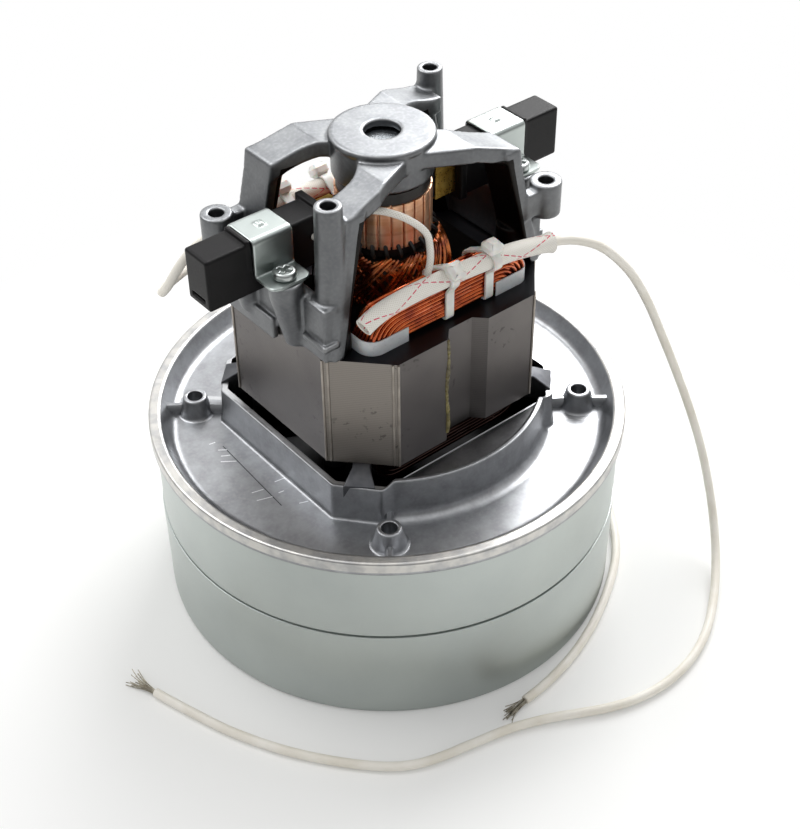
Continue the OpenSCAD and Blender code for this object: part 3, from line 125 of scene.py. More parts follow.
def skin(points, close_rows=False, close_columns=False, uv=None):
    """Quads over a grid of points (rows, columns, 3), with the grid's own uv, or places, at each corner."""
    rows, columns = points.shape[:2]
    i = np.arange(rows if close_rows else rows - 1)[:, None]
    j = np.arange(columns if close_columns else columns - 1)[None, :]
    steps = [(i, j), (i + 1, j), (i + 1, j + 1), (i, j + 1)]
    faces = np.stack([(a % rows) * columns + b % columns for a, b in steps], -1).reshape(-1, 4)
    if uv is None:
        u, v = np.arange(rows + 1.0), np.arange(columns + 1.0)
    else:
        u, v = uv
    marks = np.stack([np.stack(np.broadcast_arrays(u[a], v[b]), -1) for a, b in steps], -2)
    return points.reshape(-1, 3), faces, marks.reshape(-1, 4, 2)


def lid(ring, flip=False):
    """A fan of triangles from the middle of a closed ring to its points."""
    n = len(ring)
    k, middle = np.arange(n), np.full(n, n)
    on = (k + 1) % n
    faces = np.stack([middle, on, k, k] if flip else [middle, k, on, on], -1)
    return np.concatenate([ring, ring.mean(0, keepdims=True)]), faces, np.zeros((n, 4, 2))


def polar(r, a, z):
    """Points at a radius, a direction and a height: (r cos a, r sin a, z)."""
    return np.stack(np.broadcast_arrays(r * np.cos(a), r * np.sin(a), z), -1)


def revolve(profile, steps, centre=(0.0, 0.0)):
    """A closed profile (radius, height) turned about an upright axis."""
    a = np.linspace(0, 2 * math.pi, steps, endpoint=False)[:, None]
    return skin(polar(profile[:, 0], a, profile[:, 1]) + [*centre, 0], True, True)


def turned(profiles, turn):
    """A closed profile (radius, height) of its own for each direction."""
    return skin(polar(profiles[..., 0], turn[:, None], profiles[..., 1]), True, True)


def prism(outline, low, high, soft):
    """An outline carried up from low to high, with its edges drawn in by soft at both ends."""
    way = unit(np.roll(outline, -1, 0) - np.roll(outline, 1, 0))
    inner = outline - soft * np.stack([way[:, 1], -way[:, 0]], -1)
    rings = [(inner, low), (outline, low + soft), (outline, high - soft), (inner, high)]
    points = np.stack([np.column_stack([o, np.full(len(o), z)]) for o, z in rings])
    points = points.transpose(1, 0, 2)
    return [skin(points, True), lid(points[:, -1]), lid(points[:, 0], True)]


def box_outline(x, y, round_r, steps=4):
    """A rectangle of half sizes x and y with round corners, counted against the clock."""
    return rounded([[-x, -y], [x, -y], [x, y], [-x, y]], round_r, steps, closed=True)


def through(points, per_span=8):
    """A smooth line through chosen points: on each span the cubic that leaves and meets them at the slope of
    the chord between their neighbours."""
    p = np.asarray(points, float)
    a, b = np.concatenate([p[:1], p[:-2]]), p[:-1]
    c, d = p[1:], np.concatenate([p[2:], p[-1:]])
    t = np.linspace(0, 1, per_span, endpoint=False)[None, :, None]
    a, b, c, d = (q[:, None] for q in (a, b, c, d))
    line = 0.5 * (2 * b + (c - a) * t + (2 * a - 5 * b + 4 * c - d) * t ** 2
                  + (3 * b - a - 3 * c + d) * t ** 3)
    return np.concatenate([line.reshape(-1, 3), p[-1:]])


def along(path):
    """Distance of each point of a path from its start."""
    return np.concatenate([[0], np.cumsum(np.linalg.norm(np.diff(path, axis=0), axis=1))])


def carried_frame(path):
    """Heading and two side directions along a path that don't twist about it.

    Sides square to a fixed direction are first found, then turned back by the sum of their small twists."""
    heading = unit(np.gradient(path, axis=0))
    spare = np.eye(3)[np.argmin(np.abs(heading).max(0))]
    side = unit(np.cross(heading, spare))
    last = side[:-1] - (side[:-1] * heading[1:]).sum(1, keepdims=True) * heading[1:]
    twist = np.arctan2((np.cross(side[1:], last) * heading[1:]).sum(1), (side[1:] * last).sum(1))
    turn = np.concatenate([[0], np.cumsum(twist)])[:, None]
    other = np.cross(heading, side)
    return heading, np.cos(turn) * side + np.sin(turn) * other, np.cos(turn) * other - np.sin(turn) * side


def capped(rings, uv=None):
    """A skin over rings of points (rings, points, 3), closed at both ends."""
    return [skin(rings[:, ::-1], False, True, uv), lid(rings[-1]), lid(rings[0], True)]


def tube(path, stations, sides):
    """Rings of a given radius at given distances along a path, closed at both ends:
    p + r (cos a s + sin a t).

    Its uv is the distance along and round the surface, in millimetres."""
    place, radius = np.asarray(stations, float).T
    run = along(path)
    _, side, other = carried_frame(path)
    at, s, t = (np.stack([np.interp(place, run, q[:, k]) for k in range(3)], -1) for q in (path, side, other))
    a = np.linspace(0, 2 * math.pi, sides, endpoint=False)
    ring = np.cos(a)[None, :, None] * unit(s)[:, None] + np.sin(a)[None, :, None] * unit(t)[:, None]
    round_run = np.linspace(0, 2 * math.pi * radius.max(), sides + 1)
    return capped(at[:, None] + radius[:, None, None] * ring, (place, round_run))


def bunch(paths, outward, radius, sides=6, closed=False):
    """Many wires at once: rings round paths (wires, stations, 3), their sides set by an outward direction."""
    heading = np.roll(paths, -1, 1) - np.roll(paths, 1, 1) if closed else np.gradient(paths, axis=1)
    heading = unit(heading)
    side = unit(np.cross(heading, outward))
    other = np.cross(heading, side)
    a = np.linspace(0, 2 * math.pi, sides, endpoint=False)
    ring = np.cos(a)[:, None] * side[:, :, None] + np.sin(a)[:, None] * other[:, :, None]
    radius = np.broadcast_to(radius, paths.shape[:2])[:, :, None, None]
    points = paths[:, :, None] + radius * ring
    wires = [skin(wire[:, ::-1], closed, True) for wire in points]
    if not closed:
        wires += [lid(wire[-1]) for wire in points] + [lid(wire[0], True) for wire in points]
    return wires


def surface_net(field, low, high, step):
    """The skin where field(points) is zero, on a grid of cubes: one point in each cube that the skin
    crosses, at the mean of its crossings with the cube's edges, moved down the slope on to the skin,
    and one quad round each grid edge that it crosses."""
    axes = [np.arange(a, b + step, step) for a, b in zip(low, high)]
    shape = tuple(len(a) for a in axes)
    value = field(np.stack(np.meshgrid(*axes, indexing="ij"), -1).reshape(-1, 3)).reshape(shape)
    inside = value < 0
    cells = tuple(n - 1 for n in shape)
    corners = [(i, j, k) for i in (0, 1) for j in (0, 1) for k in (0, 1)]
    held = {c: value[tuple(slice(o, o + n) for o, n in zip(c, cells))] for c in corners}
    total, count = np.zeros(cells + (3,)), np.zeros(cells)
    for a in corners:
        for axis in range(3):
            if a[axis] == 0:
                b = tuple(1 if k == axis else a[k] for k in range(3))
                crossed = (held[a] < 0) != (held[b] < 0)
                t = held[a] / np.where(crossed, held[a] - held[b], 1)
                for k in range(3):
                    total[..., k] += np.where(crossed, a[k] + (t if k == axis else 0), 0)
                count += crossed
    used = count > 0
    index = np.full(cells, -1)
    index[used] = np.arange(used.sum())
    points = np.array(low) + step * (np.argwhere(used) + total[used] / count[used][:, None])
    for _ in range(2):
        nudge = step * 0.2 * np.eye(3)
        slope = np.stack([(field(points + n) - field(points - n)) / (0.4 * step) for n in nudge], -1)
        move = field(points)[:, None] * slope / np.maximum((slope ** 2).sum(1, keepdims=True), 0.2)
        points = points - np.clip(move, -0.6 * step, 0.6 * step)
    faces = []
    for axis in range(3):
        low_side = np.moveaxis(inside, axis, 0)
        crossed = low_side[:-1, 1:-1, 1:-1] != low_side[1:, 1:-1, 1:-1]
        leaving = low_side[:-1, 1:-1, 1:-1][crossed]
        at = np.argwhere(crossed)
        cube = np.moveaxis(index, axis, 0)
        ring = [cube[at[:, 0], at[:, 1] + u, at[:, 2] + v] for u, v in ((0, 0), (1, 0), (1, 1), (0, 1))]
        quads = np.stack(ring, -1)
        as_is = leaving if axis != 1 else ~leaving
        faces.append(np.where(as_is[:, None], quads, quads[:, ::-1]))
    faces = np.concatenate(faces)
    return points, faces, np.zeros((len(faces), 4, 2))


def union(a, b, soft):
    """Two shapes joined with a fillet of about soft: the lesser distance, eased where the two are close."""
    h = np.clip(0.5 + 0.5 * (b - a) / soft, 0, 1)
    return b * (1 - h) + a * h - soft * h * (1 - h)


def carve(a, b, soft=0.3):
    """Shape a with shape b cut out of it, the new edge eased by soft."""
    return -union(-a, b, soft)


def near_box(beyond, soft):
    """Distance to a body from how far a point lies beyond each of its faces, its edges rounded by soft."""
    q = beyond + soft
    return np.linalg.norm(np.maximum(q, 0), axis=1) + np.minimum(q.max(1), 0) - soft


def block(p, middle, half, soft):
    """Distance to a box with its edges rounded by soft."""
    return near_box(np.abs(p - np.array(middle)) - np.array(half), soft)


def peg(p, place, low, high, r_low, r_high, soft):
    """Distance to an upright cone between two heights, its edges rounded by soft."""
    r = np.hypot(p[:, 0] - place[0], p[:, 1] - place[1])
    t = np.clip((p[:, 2] - low) / (high - low), 0, 1)
    level = np.abs(p[:, 2] - (low + high) / 2) - (high - low) / 2
    return near_box(np.stack([r - (r_low + (r_high - r_low) * t), level], 1), soft)


def facing_way(p, turn):
    """Points seen from axes turned about the upright one: (x cos a + y sin a, y cos a - x sin a, z)."""
    c, s = math.cos(turn), math.sin(turn)
    return np.stack([p[:, 0] * c + p[:, 1] * s, p[:, 1] * c - p[:, 0] * s, p[:, 2]], 1)


def moved(parts, turn, by=(0.0, 0.0, 0.0), about=2):
    """The same surfaces turned about an axis, the upright one if not said, and then shifted."""
    first, second = [(1, 2), (2, 0), (0, 1)][about]
    spin = np.eye(3)
    spin[first, first] = spin[second, second] = math.cos(turn)
    spin[first, second], spin[second, first] = math.sin(turn), -math.sin(turn)
    return [(points @ spin + np.array(by), faces, marks) for points, faces, marks in parts]


def linked(name, data):
    """A new object of the scene."""
    obj = bpy.data.objects.new(name, data)
    bpy.context.scene.collection.objects.link(obj)
    return obj


def piece(name, parts, material, stands_for=(), sharp=40, body="motor_frame"):
    """One object of several surfaces, smooth but for edges sharper than an angle, riding on a body."""
    starts = np.cumsum([0] + [len(p[0]) for p in parts[:-1]])
    points = np.concatenate([p[0] for p in parts]) * MM
    faces = np.concatenate([p[1] + s for p, s in zip(parts, starts)])
    marks = np.concatenate([p[2] for p in parts])
    flat = faces[:, 2] == faces[:, 3]
    mesh = bpy.data.meshes.new(name)
    quads, tris = faces[~flat], faces[flat][:, :3]
    mesh.from_pydata(points, [], quads.tolist() + tris.tolist())
    uv = np.concatenate([marks[~flat].reshape(-1, 2), marks[flat][:, :3].reshape(-1, 2)])
    mesh.uv_layers.new(name="Along").data.foreach_set("uv", uv.astype(np.float32).ravel())
    mesh.polygons.foreach_set("use_smooth", np.ones(len(faces), bool))
    mesh.set_sharp_from_angle(angle=math.radians(sharp))
    mesh.materials.append(material)
    mesh.update()
    obj = linked(name, mesh)
    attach(obj, body)
    if stands_for:
        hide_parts(*stands_for)
    return obj


# Finishes


def colour(code):
    """An sRGB hex value as linear red, green, blue and alpha."""
    c = np.array([int(code[k:k + 2], 16) for k in (1, 3, 5)]) / 255
    c = np.where(c <= 0.04045, c / 12.92, ((c + 0.055) / 1.055) ** 2.4)
    return (*c.tolist(), 1.0)


def per_mm(size):
    """Scale of a noise whose features are that many millimetres wide."""
    return 1 / (size * MM)


def bands(pitch, unit_length=MM):
    """Scale of a wave whose bands are that far apart; Blender's wave repeats every pi / 10."""
    return math.pi / 10 / (pitch * unit_length)


def feed(tree, node, inputs):
    """Fills inputs of a node: each takes a value, a socket, or another node by its first output in use."""
    for key, value in inputs.items():
        if isinstance(value, bpy.types.Node):
            value = next(socket for socket in value.outputs if socket.enabled)
        if isinstance(value, bpy.types.NodeSocket):
            tree.links.new(value, node.inputs[key])
        else:
            node.inputs[key].default_value = value


def add(tree, kind, inputs=None, **settings):
    """Adds a node with its settings and what feeds its inputs."""
    node = tree.nodes.new(kind)
    for key, value in settings.items():
        setattr(node, key, value)
    feed(tree, node, inputs or {})
    return node


def empty_tree(owner):
    """The node tree of a material or a world, with no nodes in it yet."""
    owner.use_nodes = True
    owner.node_tree.nodes.clear()
    return owner.node_tree


def finish(name, **values):
    """A material of one Principled shader: its name, its tree, its shader and its Object coordinates."""
    mat = bpy.data.materials.new(name)
    tree = empty_tree(mat)
    shader = add(tree, "ShaderNodeBsdfPrincipled", {k.replace("_", " "): v for k, v in values.items()})
    add(tree, "ShaderNodeOutputMaterial", {"Surface": shader})
    return mat, tree, shader, add(tree, "ShaderNodeTexCoord").outputs["Object"]


# Inputs of a Mix node that mixes colours
FACTOR, FIRST, SECOND = 0, 6, 7


def cloudy(tree, shader, where, size, dark, light, rough, bump_size, bump):
    """Colour drifts between two shades over size; roughness and a fine bump follow a finer grain."""
    cloud = add(tree, "ShaderNodeTexNoise", {"Vector": where, "Scale": per_mm(size), "Detail": 5.0})
    grain = add(tree, "ShaderNodeTexNoise", {"Vector": where, "Scale": per_mm(bump_size), "Detail": 3.0})
    part = add(tree, "ShaderNodeMapRange", {"Value": cloud, "From Min": 0.35, "From Max": 0.65})
    mix = add(tree, "ShaderNodeMix", {FACTOR: part, FIRST: colour(dark), SECOND: colour(light)},
              data_type="RGBA")
    tone = add(tree, "ShaderNodeMapRange", {"Value": grain, "From Min": 0.3, "From Max": 0.7,
                                            "To Min": rough[0], "To Max": rough[1]})
    relief = add(tree, "ShaderNodeBump", {"Height": grain, "Distance": bump * MM, "Strength": 1.0})
    feed(tree, shader, {"Base Color": mix, "Roughness": tone, "Normal": relief})
    return mix


def zinc_sheet():
    """Zinc-plated pressed steel: a satin grey-green skin, faintly cloudy, with soft broad reflections."""
    mat, tree, shader, where = finish("Zinc plated steel sheet", Metallic=1.0)
    cloudy(tree, shader, where, 40, "#b4bab8", "#bdc3c0", (0.36, 0.42), 0.5, 0.001)
    return mat


def mark(tree, where, start, end, width):
    """1 on a straight line drawn from start to end in plan, 0 elsewhere."""
    (x, y), (u, v) = start, end
    line = add(tree, "ShaderNodeMapping", {
        "Vector": where, "Location": ((x + u) / 2 * MM, (y + v) / 2 * MM, 0),
        "Rotation": (0, 0, math.atan2(v - y, u - x)),
        "Scale": (math.hypot(u - x, v - y) / 2 * MM, width / 2 * MM, 1)}, vector_type="TEXTURE")
    size = add(tree, "ShaderNodeVectorMath", {0: line}, operation="ABSOLUTE")
    part = add(tree, "ShaderNodeSeparateXYZ", {"Vector": size})
    far = add(tree, "ShaderNodeMath", {0: part.outputs["X"], 1: part.outputs["Y"]}, operation="MAXIMUM")
    return add(tree, "ShaderNodeMath", {0: far, 1: 1.0}, operation="LESS_THAN")


def within(tree, value, limit):
    """1 where a value in metres is below a limit in millimetres, 0 elsewhere."""
    return add(tree, "ShaderNodeMath", {0: value, 1: limit * MM}, operation="LESS_THAN")


def both(tree, *factors):
    """The product of several factors."""
    result = factors[0]
    for factor in factors[1:]:
        result = add(tree, "ShaderNodeMath", {0: result, 1: factor}, operation="MULTIPLY")
    return result


def toned(tree, shade, factor, code):
    """A colour with another laid over it by a factor."""
    return add(tree, "ShaderNodeMix", {FACTOR: factor, FIRST: shade, SECOND: colour(code)},
               data_type="RGBA")


def slanted(tree, where, way):
    """How far each point lies along a direction, counted alike in all four quarters."""
    size = add(tree, "ShaderNodeVectorMath", {0: where}, operation="ABSOLUTE")
    return add(tree, "ShaderNodeVectorMath", {0: size, 1: way}, operation="DOT_PRODUCT")


def cast_aluminium(name, dark, light, rough):
    """Die-cast aluminium: matt and sandy, a little cloudy from the die, its raised edges rubbed bright."""
    mat, tree, shader, where = finish(name, Metallic=1.0)
    shade = cloudy(tree, shader, where, 5, dark, light, rough, 0.45, 0.014)
    sand = add(tree, "ShaderNodeTexNoise", {"Vector": where, "Scale": per_mm(0.9), "Detail": 4.0})
    speck = add(tree, "ShaderNodeMapRange", {"Value": sand, "From Min": 0.45, "From Max": 0.8,
                                             "To Max": 0.3})
    edge = add(tree, "ShaderNodeNewGeometry").outputs["Pointiness"]
    worn = add(tree, "ShaderNodeMapRange", {"Value": edge, "From Min": 0.525, "From Max": 0.6,
                                            "To Max": 0.55})
    shade = toned(tree, shade, speck, "#c3c4c6")
    shade = toned(tree, shade, worn, "#dadbdc")
    feed(tree, shader, {"Base Color": shade})
    return mat, tree, shader, where, shade


def cast_base():
    """The dished casting: bright where its rim was turned, scored on its floor, and painted dark inside as
    shade under the core.
    """
    mat, tree, shader, where, shade = cast_aluminium("Die-cast aluminium base", "#98999c", "#a9abae",
                                                     (0.3, 0.42))
    flat = add(tree, "ShaderNodeVectorMath", {0: where, 1: (1, 1, 0)}, operation="MULTIPLY")
    away = add(tree, "ShaderNodeVectorMath", {0: flat}, operation="LENGTH")
    height = add(tree, "ShaderNodeSeparateXYZ", {"Vector": where}).outputs["Z"]
    wide, deep = slanted(tree, where, (1, 0, 0)), slanted(tree, where, (0, 1, 0))
    # painted shade: hollow is near black in the cavity below the core, under is mid grey round the posts
    # under it
    hollow = both(tree, within(tree, away, 47.4), within(tree, wide, 41.2),
                  within(tree, slanted(tree, where, (0.764, 0.646, 0)), 49.0), within(tree, height, 69.0))
    under = both(tree, within(tree, wide, 40.2), within(tree, deep, 37.8),
                 within(tree, slanted(tree, where, (0.767, 0.642, 0)), 48.0))
    dull = add(tree, "ShaderNodeMath", {0: within(tree, away, 69.4), 1: within(tree, height, 61.5)},
               operation="MAXIMUM")
    rubs = add(tree, "ShaderNodeTexNoise", {"Vector": where, "Scale": per_mm(4), "Detail": 5.0})
    worn = add(tree, "ShaderNodeMapRange", {"Value": rubs, "From Min": 0.35, "From Max": 0.6,
                                            "To Min": 0.3, "To Max": 0.75})
    bright = add(tree, "ShaderNodeMath", {0: worn, 1: dull}, operation="SUBTRACT", use_clamp=True)
    # bright is real turning wear on the rim; under and hollow lay painted shade
    for factor, code in ((bright, "#dcd9d3"), (under, "#4c4d4f"), (hollow, "#1b1a1a")):
        shade = toned(tree, shade, factor, code)
    for start, end, width, code in SCORES:
        shade = toned(tree, shade, mark(tree, where, start, end, width), code)
    feed(tree, shader, {"Base Color": shade})
    return mat


def cast_top():
    """The bracket casting, with painted shade on its upright faces and on the inside of its legs."""
    mat, tree, shader, where, shade = cast_aluminium("Die-cast aluminium bracket", "#86888b", "#949698",
                                                     (0.36, 0.5))
    lean = add(tree, "ShaderNodeMath", {0: slanted(tree, where, (1, 0, 0.2325)), 1: 0.2325 * 151 * MM},
               operation="SUBTRACT")
    far = add(tree, "ShaderNodeMath", {0: 1.0, 1: within(tree, slanted(tree, where, (1, 0, 0)), 17)},
              operation="SUBTRACT")
    height = add(tree, "ShaderNodeSeparateXYZ", {"Vector": where}).outputs["Z"]
    # painted shade: the inner faces of the legs are drawn near black
    painted_shade = both(tree, within(tree, lean, 25.2), far, within(tree, height, 149.0))
    up = add(tree, "ShaderNodeSeparateXYZ", {"Vector": add(tree, "ShaderNodeNewGeometry").outputs["Normal"]})
    # painted shade: the closer a face is to upright, the darker it is drawn
    sides = add(tree, "ShaderNodeMapRange", {"Value": up.outputs["Z"], "From Min": 0.1, "From Max": 0.7,
                                             "To Min": 0.6, "To Max": 0.0})
    shade = toned(tree, shade, sides, "#515254")
    feed(tree, shader, {"Base Color": toned(tree, shade, painted_shade, "#232120")})
    return mat


def lamination_steel():
    """Stacked stamped steel sheet: smooth dark sides with faint level lines and dark pits, a painted
    highlight that makes the corner cuts paler, black on top. Real sheets are 0.5 mm thick; the lines are
    coarser, so that they show."""
    mat, tree, shader, where = finish("Laminated core steel", Metallic=0.9)
    shade = cloudy(tree, shader, where, 22, "#5f5b5a", "#6c6866", (0.3, 0.36), 0.8, 0.002)
    lines = add(tree, "ShaderNodeTexWave", {"Vector": where, "Scale": bands(0.65), "Distortion": 0.4,
                                            "Detail": 2.0, "Detail Scale": 3.0}, bands_direction="Z")
    # painted highlight: the corner cut faces are drawn paler than the other sides
    cut_faces = add(tree, "ShaderNodeMath", {0: slanted(tree, where, (0.731, 0.683, 0)), 1: 42.9 * MM},
                    operation="GREATER_THAN")
    painted_corner_light = toned(tree, shade, cut_faces, "#8b857f")
    ruled = add(tree, "ShaderNodeMix", {FACTOR: 0.14, FIRST: painted_corner_light, SECOND: lines.outputs["Color"]},
                data_type="RGBA", blend_type="MULTIPLY")
    spots = add(tree, "ShaderNodeTexNoise", {"Vector": where, "Scale": per_mm(1.6), "Detail": 2.0})
    patch = add(tree, "ShaderNodeTexNoise", {"Vector": where, "Scale": per_mm(16), "Detail": 1.0})
    pits = add(tree, "ShaderNodeMapRange", {"Value": spots, "From Min": 0.62, "From Max": 0.68})
    place = add(tree, "ShaderNodeMapRange", {"Value": patch, "From Min": 0.5, "From Max": 0.6,
                                             "To Max": 0.5})
    pitted = toned(tree, ruled, both(tree, pits, place), "#2b2826")
    height = add(tree, "ShaderNodeSeparateXYZ", {"Vector": where}).outputs["Z"]
    on_top = add(tree, "ShaderNodeMath", {0: height, 1: (CORE_TOP - 0.1) * MM}, operation="GREATER_THAN")
    relief = add(tree, "ShaderNodeBump", {"Height": lines.outputs["Fac"], "Distance": 0.006 * MM,
                                          "Strength": 0.6})
    feed(tree, shader, {"Base Color": toned(tree, pitted, on_top, "#2a2a2e"), "Normal": relief})
    return mat


def painted_shade_below_core(tree, shader, where, shade, code):
    """Lays another colour, as painted shade, over all that is lower than 2 mm above the core's foot."""
    height = add(tree, "ShaderNodeSeparateXYZ", {"Vector": where}).outputs["Z"]
    painted_shade = toned(tree, shade, within(tree, height, CORE_FOOT + 2), code)
    feed(tree, shader, {"Base Color": painted_shade})


def varnished_copper():
    """Enamelled winding wire: glossy red-orange lacquer over copper, painted dark as shade below the core."""
    mat, tree, shader, where = finish("Enamelled copper wire", Metallic=0.9, Coat_Weight=0.6,
                                      Coat_Roughness=0.12)
    shade = cloudy(tree, shader, where, 6, "#943410", "#d96a2a", (0.16, 0.24), 1.2, 0.002)
    # painted shade: the wire below the core is drawn dark brown
    painted_shade_below_core(tree, shader, where, shade, "#3a1a10")
    return mat


def baked_winding():
    """Armature winding soaked in baked varnish: dark red-brown, with a hard gloss."""
    mat, tree, shader, where = finish("Baked varnish winding", Metallic=0.9, Coat_Weight=0.8,
                                      Coat_Roughness=0.1)
    cloudy(tree, shader, where, 4, "#7a2c10", "#ec8742", (0.15, 0.24), 1.0, 0.002)
    return mat


def bare_copper():
    """Turned copper bars: warm metal with fine level rub marks from the brushes."""
    mat, tree, shader, where = finish("Turned copper", Metallic=0.75)
    shade = cloudy(tree, shader, where, 6, "#f0b48a", "#fbd3b4", (0.28, 0.34), 6, 0.0)
    level = add(tree, "ShaderNodeMapping", {"Vector": where, "Scale": (0.03, 0.03, 1.0)})
    rubs = add(tree, "ShaderNodeTexNoise", {"Vector": level, "Scale": per_mm(1.2), "Detail": 2.0})
    worn = add(tree, "ShaderNodeMapRange", {"Value": rubs, "From Min": 0.45, "From Max": 0.65,
                                            "To Max": 0.35})
    feed(tree, shader, {"Base Color": toned(tree, shade, worn, "#c9794a")})
    return mat


def plain(name, dark, light, rough, size=6.0, grain=0.6, bump=0.006, **values):
    """A finish with nothing but its own small drift of shade, roughness and grain."""
    mat, tree, shader, where = finish(name, **values)
    cloudy(tree, shader, where, size, dark, light, rough, grain, bump)
    return mat


def slot_film():
    """Thin polyester film: grey-white with a soft gloss, and painted dark as shade where it ends below the
    core.
    """
    mat, tree, shader, where = finish("Polyester slot film", Subsurface_Weight=0.15, Subsurface_Scale=0.001)
    shade = cloudy(tree, shader, where, 8, "#b9bcbf", "#d3d6d8", (0.25, 0.4), 1.0, 0.002)
    # painted shade: the film's lower end is drawn dark
    painted_shade_below_core(tree, shader, where, shade, "#2b2421")
    return mat


def glass_braid(name, ring, pitch, tracer):
    """Woven glass sleeving: cream yarns crossing at 45 degrees, with a dashed red tracer yarn on each slant.

    Real yarns lie closer than pitch, and are drawn that coarse so that they show."""
    mat, tree, shader, _ = finish(name, Roughness=0.75, Sheen_Weight=0.2)
    run = add(tree, "ShaderNodeUVMap", uv_map="Along")
    waves = []
    for turn in (45, -45):
        slant = add(tree, "ShaderNodeMapping", {"Vector": run, "Rotation": (0, 0, math.radians(turn))})
        waves.append(add(tree, "ShaderNodeTexWave", {"Vector": slant, "Scale": bands(pitch, 1)}))
    yarn = add(tree, "ShaderNodeMath", {0: waves[0].outputs["Fac"], 1: waves[1].outputs["Fac"]},
               operation="MAXIMUM")
    shade = toned(tree, colour("#d8d2c5"), yarn, "#f3f0e9")
    relief = add(tree, "ShaderNodeBump", {"Height": yarn, "Distance": 0.08 * MM, "Strength": 0.6})
    if tracer:
        place = add(tree, "ShaderNodeSeparateXYZ", {"Vector": run})
        for lean, offset in ((1.0, 0.1), (-1.0, 0.45)):
            turn = add(tree, "ShaderNodeMath", {0: place.outputs["Y"], 1: lean / ring, 2: offset},
                       operation="MULTIPLY_ADD")
            helix = add(tree, "ShaderNodeMath", {0: place.outputs["X"], 1: 1 / tracer, 2: turn},
                        operation="MULTIPLY_ADD")
            near = add(tree, "ShaderNodeMath", {0: helix, 1: 0.5, 2: 1.0}, operation="WRAP")
            line = add(tree, "ShaderNodeMath", {0: near, 1: 1.0, 2: 0.02}, operation="COMPARE")
            step = add(tree, "ShaderNodeMath", {0: place.outputs["X"], 1: 0.45}, operation="MULTIPLY")
            part = add(tree, "ShaderNodeMath", {0: step}, operation="FRACT")
            dash = add(tree, "ShaderNodeMath", {0: part, 1: 0.3}, operation="GREATER_THAN")
            shade = toned(tree, shade, both(tree, line, dash), "#d2425c")
    feed(tree, shader, {"Base Color": shade, "Normal": relief})
    return mat


# Marks on the dished floor, each from one place to another in plan: one dark, the others bright
SCORES = [((-49.3, 17.9), (-51.0, -14.3), 0.3, "#4a4b4e")]
SCORES += [(start, end, 0.34, "#e8eaec") for start, end in (
    ((-52.0, 21.3), (-50.1, 20.9)), ((-51.4, 17.4), (-49.3, 15.8)), ((-52.3, 14.6), (-50.0, 13.2)),
    ((-53.8, 12.6), (-50.0, 9.8)), ((-54.5, -4.4), (-51.0, -5.4)), ((-55.3, -8.0), (-50.8, -9.6)),
    ((-48.5, -9.4), (-46.8, -9.7)), ((-46.6, -4.9), (-43.4, -5.4)), ((-46.5, -16.8), (-44.0, -17.8)))]
ZINC = zinc_sheet()
CAST_BASE, CAST_TOP = cast_base(), cast_top()
CORE_STEEL = lamination_steel()
COPPER_WIRE = varnished_copper()
BAKED = baked_winding()
COPPER_BAR = bare_copper()
FILM = slot_film()
SLEEVE_BRAID = glass_braid("Woven glass sleeving", 2 * math.pi * 3.1, 0.6, 44.0)
JUMPER_BRAID = glass_braid("Braided jumper wire", 2 * math.pi, 0.6, 0.0)
# Grey castings drawn darker than the base: painted shade under the core
PAD_PAINTED_SHADE = plain("Die-cast aluminium pads in painted shade", "#55565a", "#66676a", (0.45, 0.55), 4, 0.5, 0.01, Metallic=1.0)
# Clean bluish plate with soft broad reflections
STRAP_ZINC = plain("Bright zinc strap", "#aeb5b3", "#b9c0bd", (0.33, 0.37), 18, 3, 0.0, Metallic=1.0)
SCREW_STEEL = plain("Plated screw steel", "#b4b9b7", "#c6cac8", (0.28, 0.32), 5, 2, 0.0, Metallic=1.0)
# Black mouldings with a dim, even sheen
BAKELITE = plain("Moulded bakelite", "#080708", "#100e10", (0.42, 0.5), 8, 0.5, 0.002, Specular_IOR_Level=0.2)
RESIN = plain("Moulded commutator resin", "#0e0c0b", "#1e1916", (0.35, 0.5), 4, 0.5, 0.01)
# Milky plastic that light enters a little way
NYLON = plain("Natural nylon", "#d9d8d2", "#efeeea", (0.3, 0.45), 5, 0.7, 0.01, Subsurface_Weight=0.25,
              Subsurface_Scale=0.002)
# Cream rubber, almost matt
SILICONE = plain("Silicone lead", "#e6e0d3", "#f2eee5", (0.42, 0.56), 11, 0.9, 0.01)
# Drawn, ground and tinned metals: warm yellow, bright grey and dull silver
BRASS = plain("Drawn brass", "#a98436", "#cfab58", (0.25, 0.38), 4, 0.5, 0.004, Metallic=1.0)
BRIGHT_STEEL = plain("Ground bearing steel", "#9ea3a7", "#bfc4c8", (0.18, 0.28), 6, 0.4, 0.002, Metallic=1.0)
TINNED = plain("Tinned copper strands", "#8f8778", "#c9c3b4", (0.3, 0.45), 2, 0.3, 0.003, Metallic=1.0)
# Soft black block with a fine grain
CARBON = plain("Pressed carbon", "#1e1e20", "#343437", (0.45, 0.65), 2, 0.4, 0.01)
# Pale beads at the core's edges, a painted highlight, and a glossy olive run of dried varnish
SEAM_HIGHLIGHT = plain("Core seam with painted highlight", "#8b857e", "#a29b93", (0.3, 0.38), 5, 1, 0.001, Metallic=1.0)
RUN_VARNISH = plain("Run varnish", "#4a4226", "#857b4e", (0.2, 0.4), 2, 0.8, 0.02)
# Smooth rolled sheet, and the same under a film of carbon dust
FAN_SHEET = plain("Pressed fan aluminium", "#aeb2b4", "#c8cccd", (0.3, 0.42), 10, 0.5, 0.004, Metallic=1.0)
DUSTY_FAN = plain("Dusty fan aluminium", "#353536", "#474748", (0.4, 0.55), 10, 0.5, 0.004, Metallic=1.0)

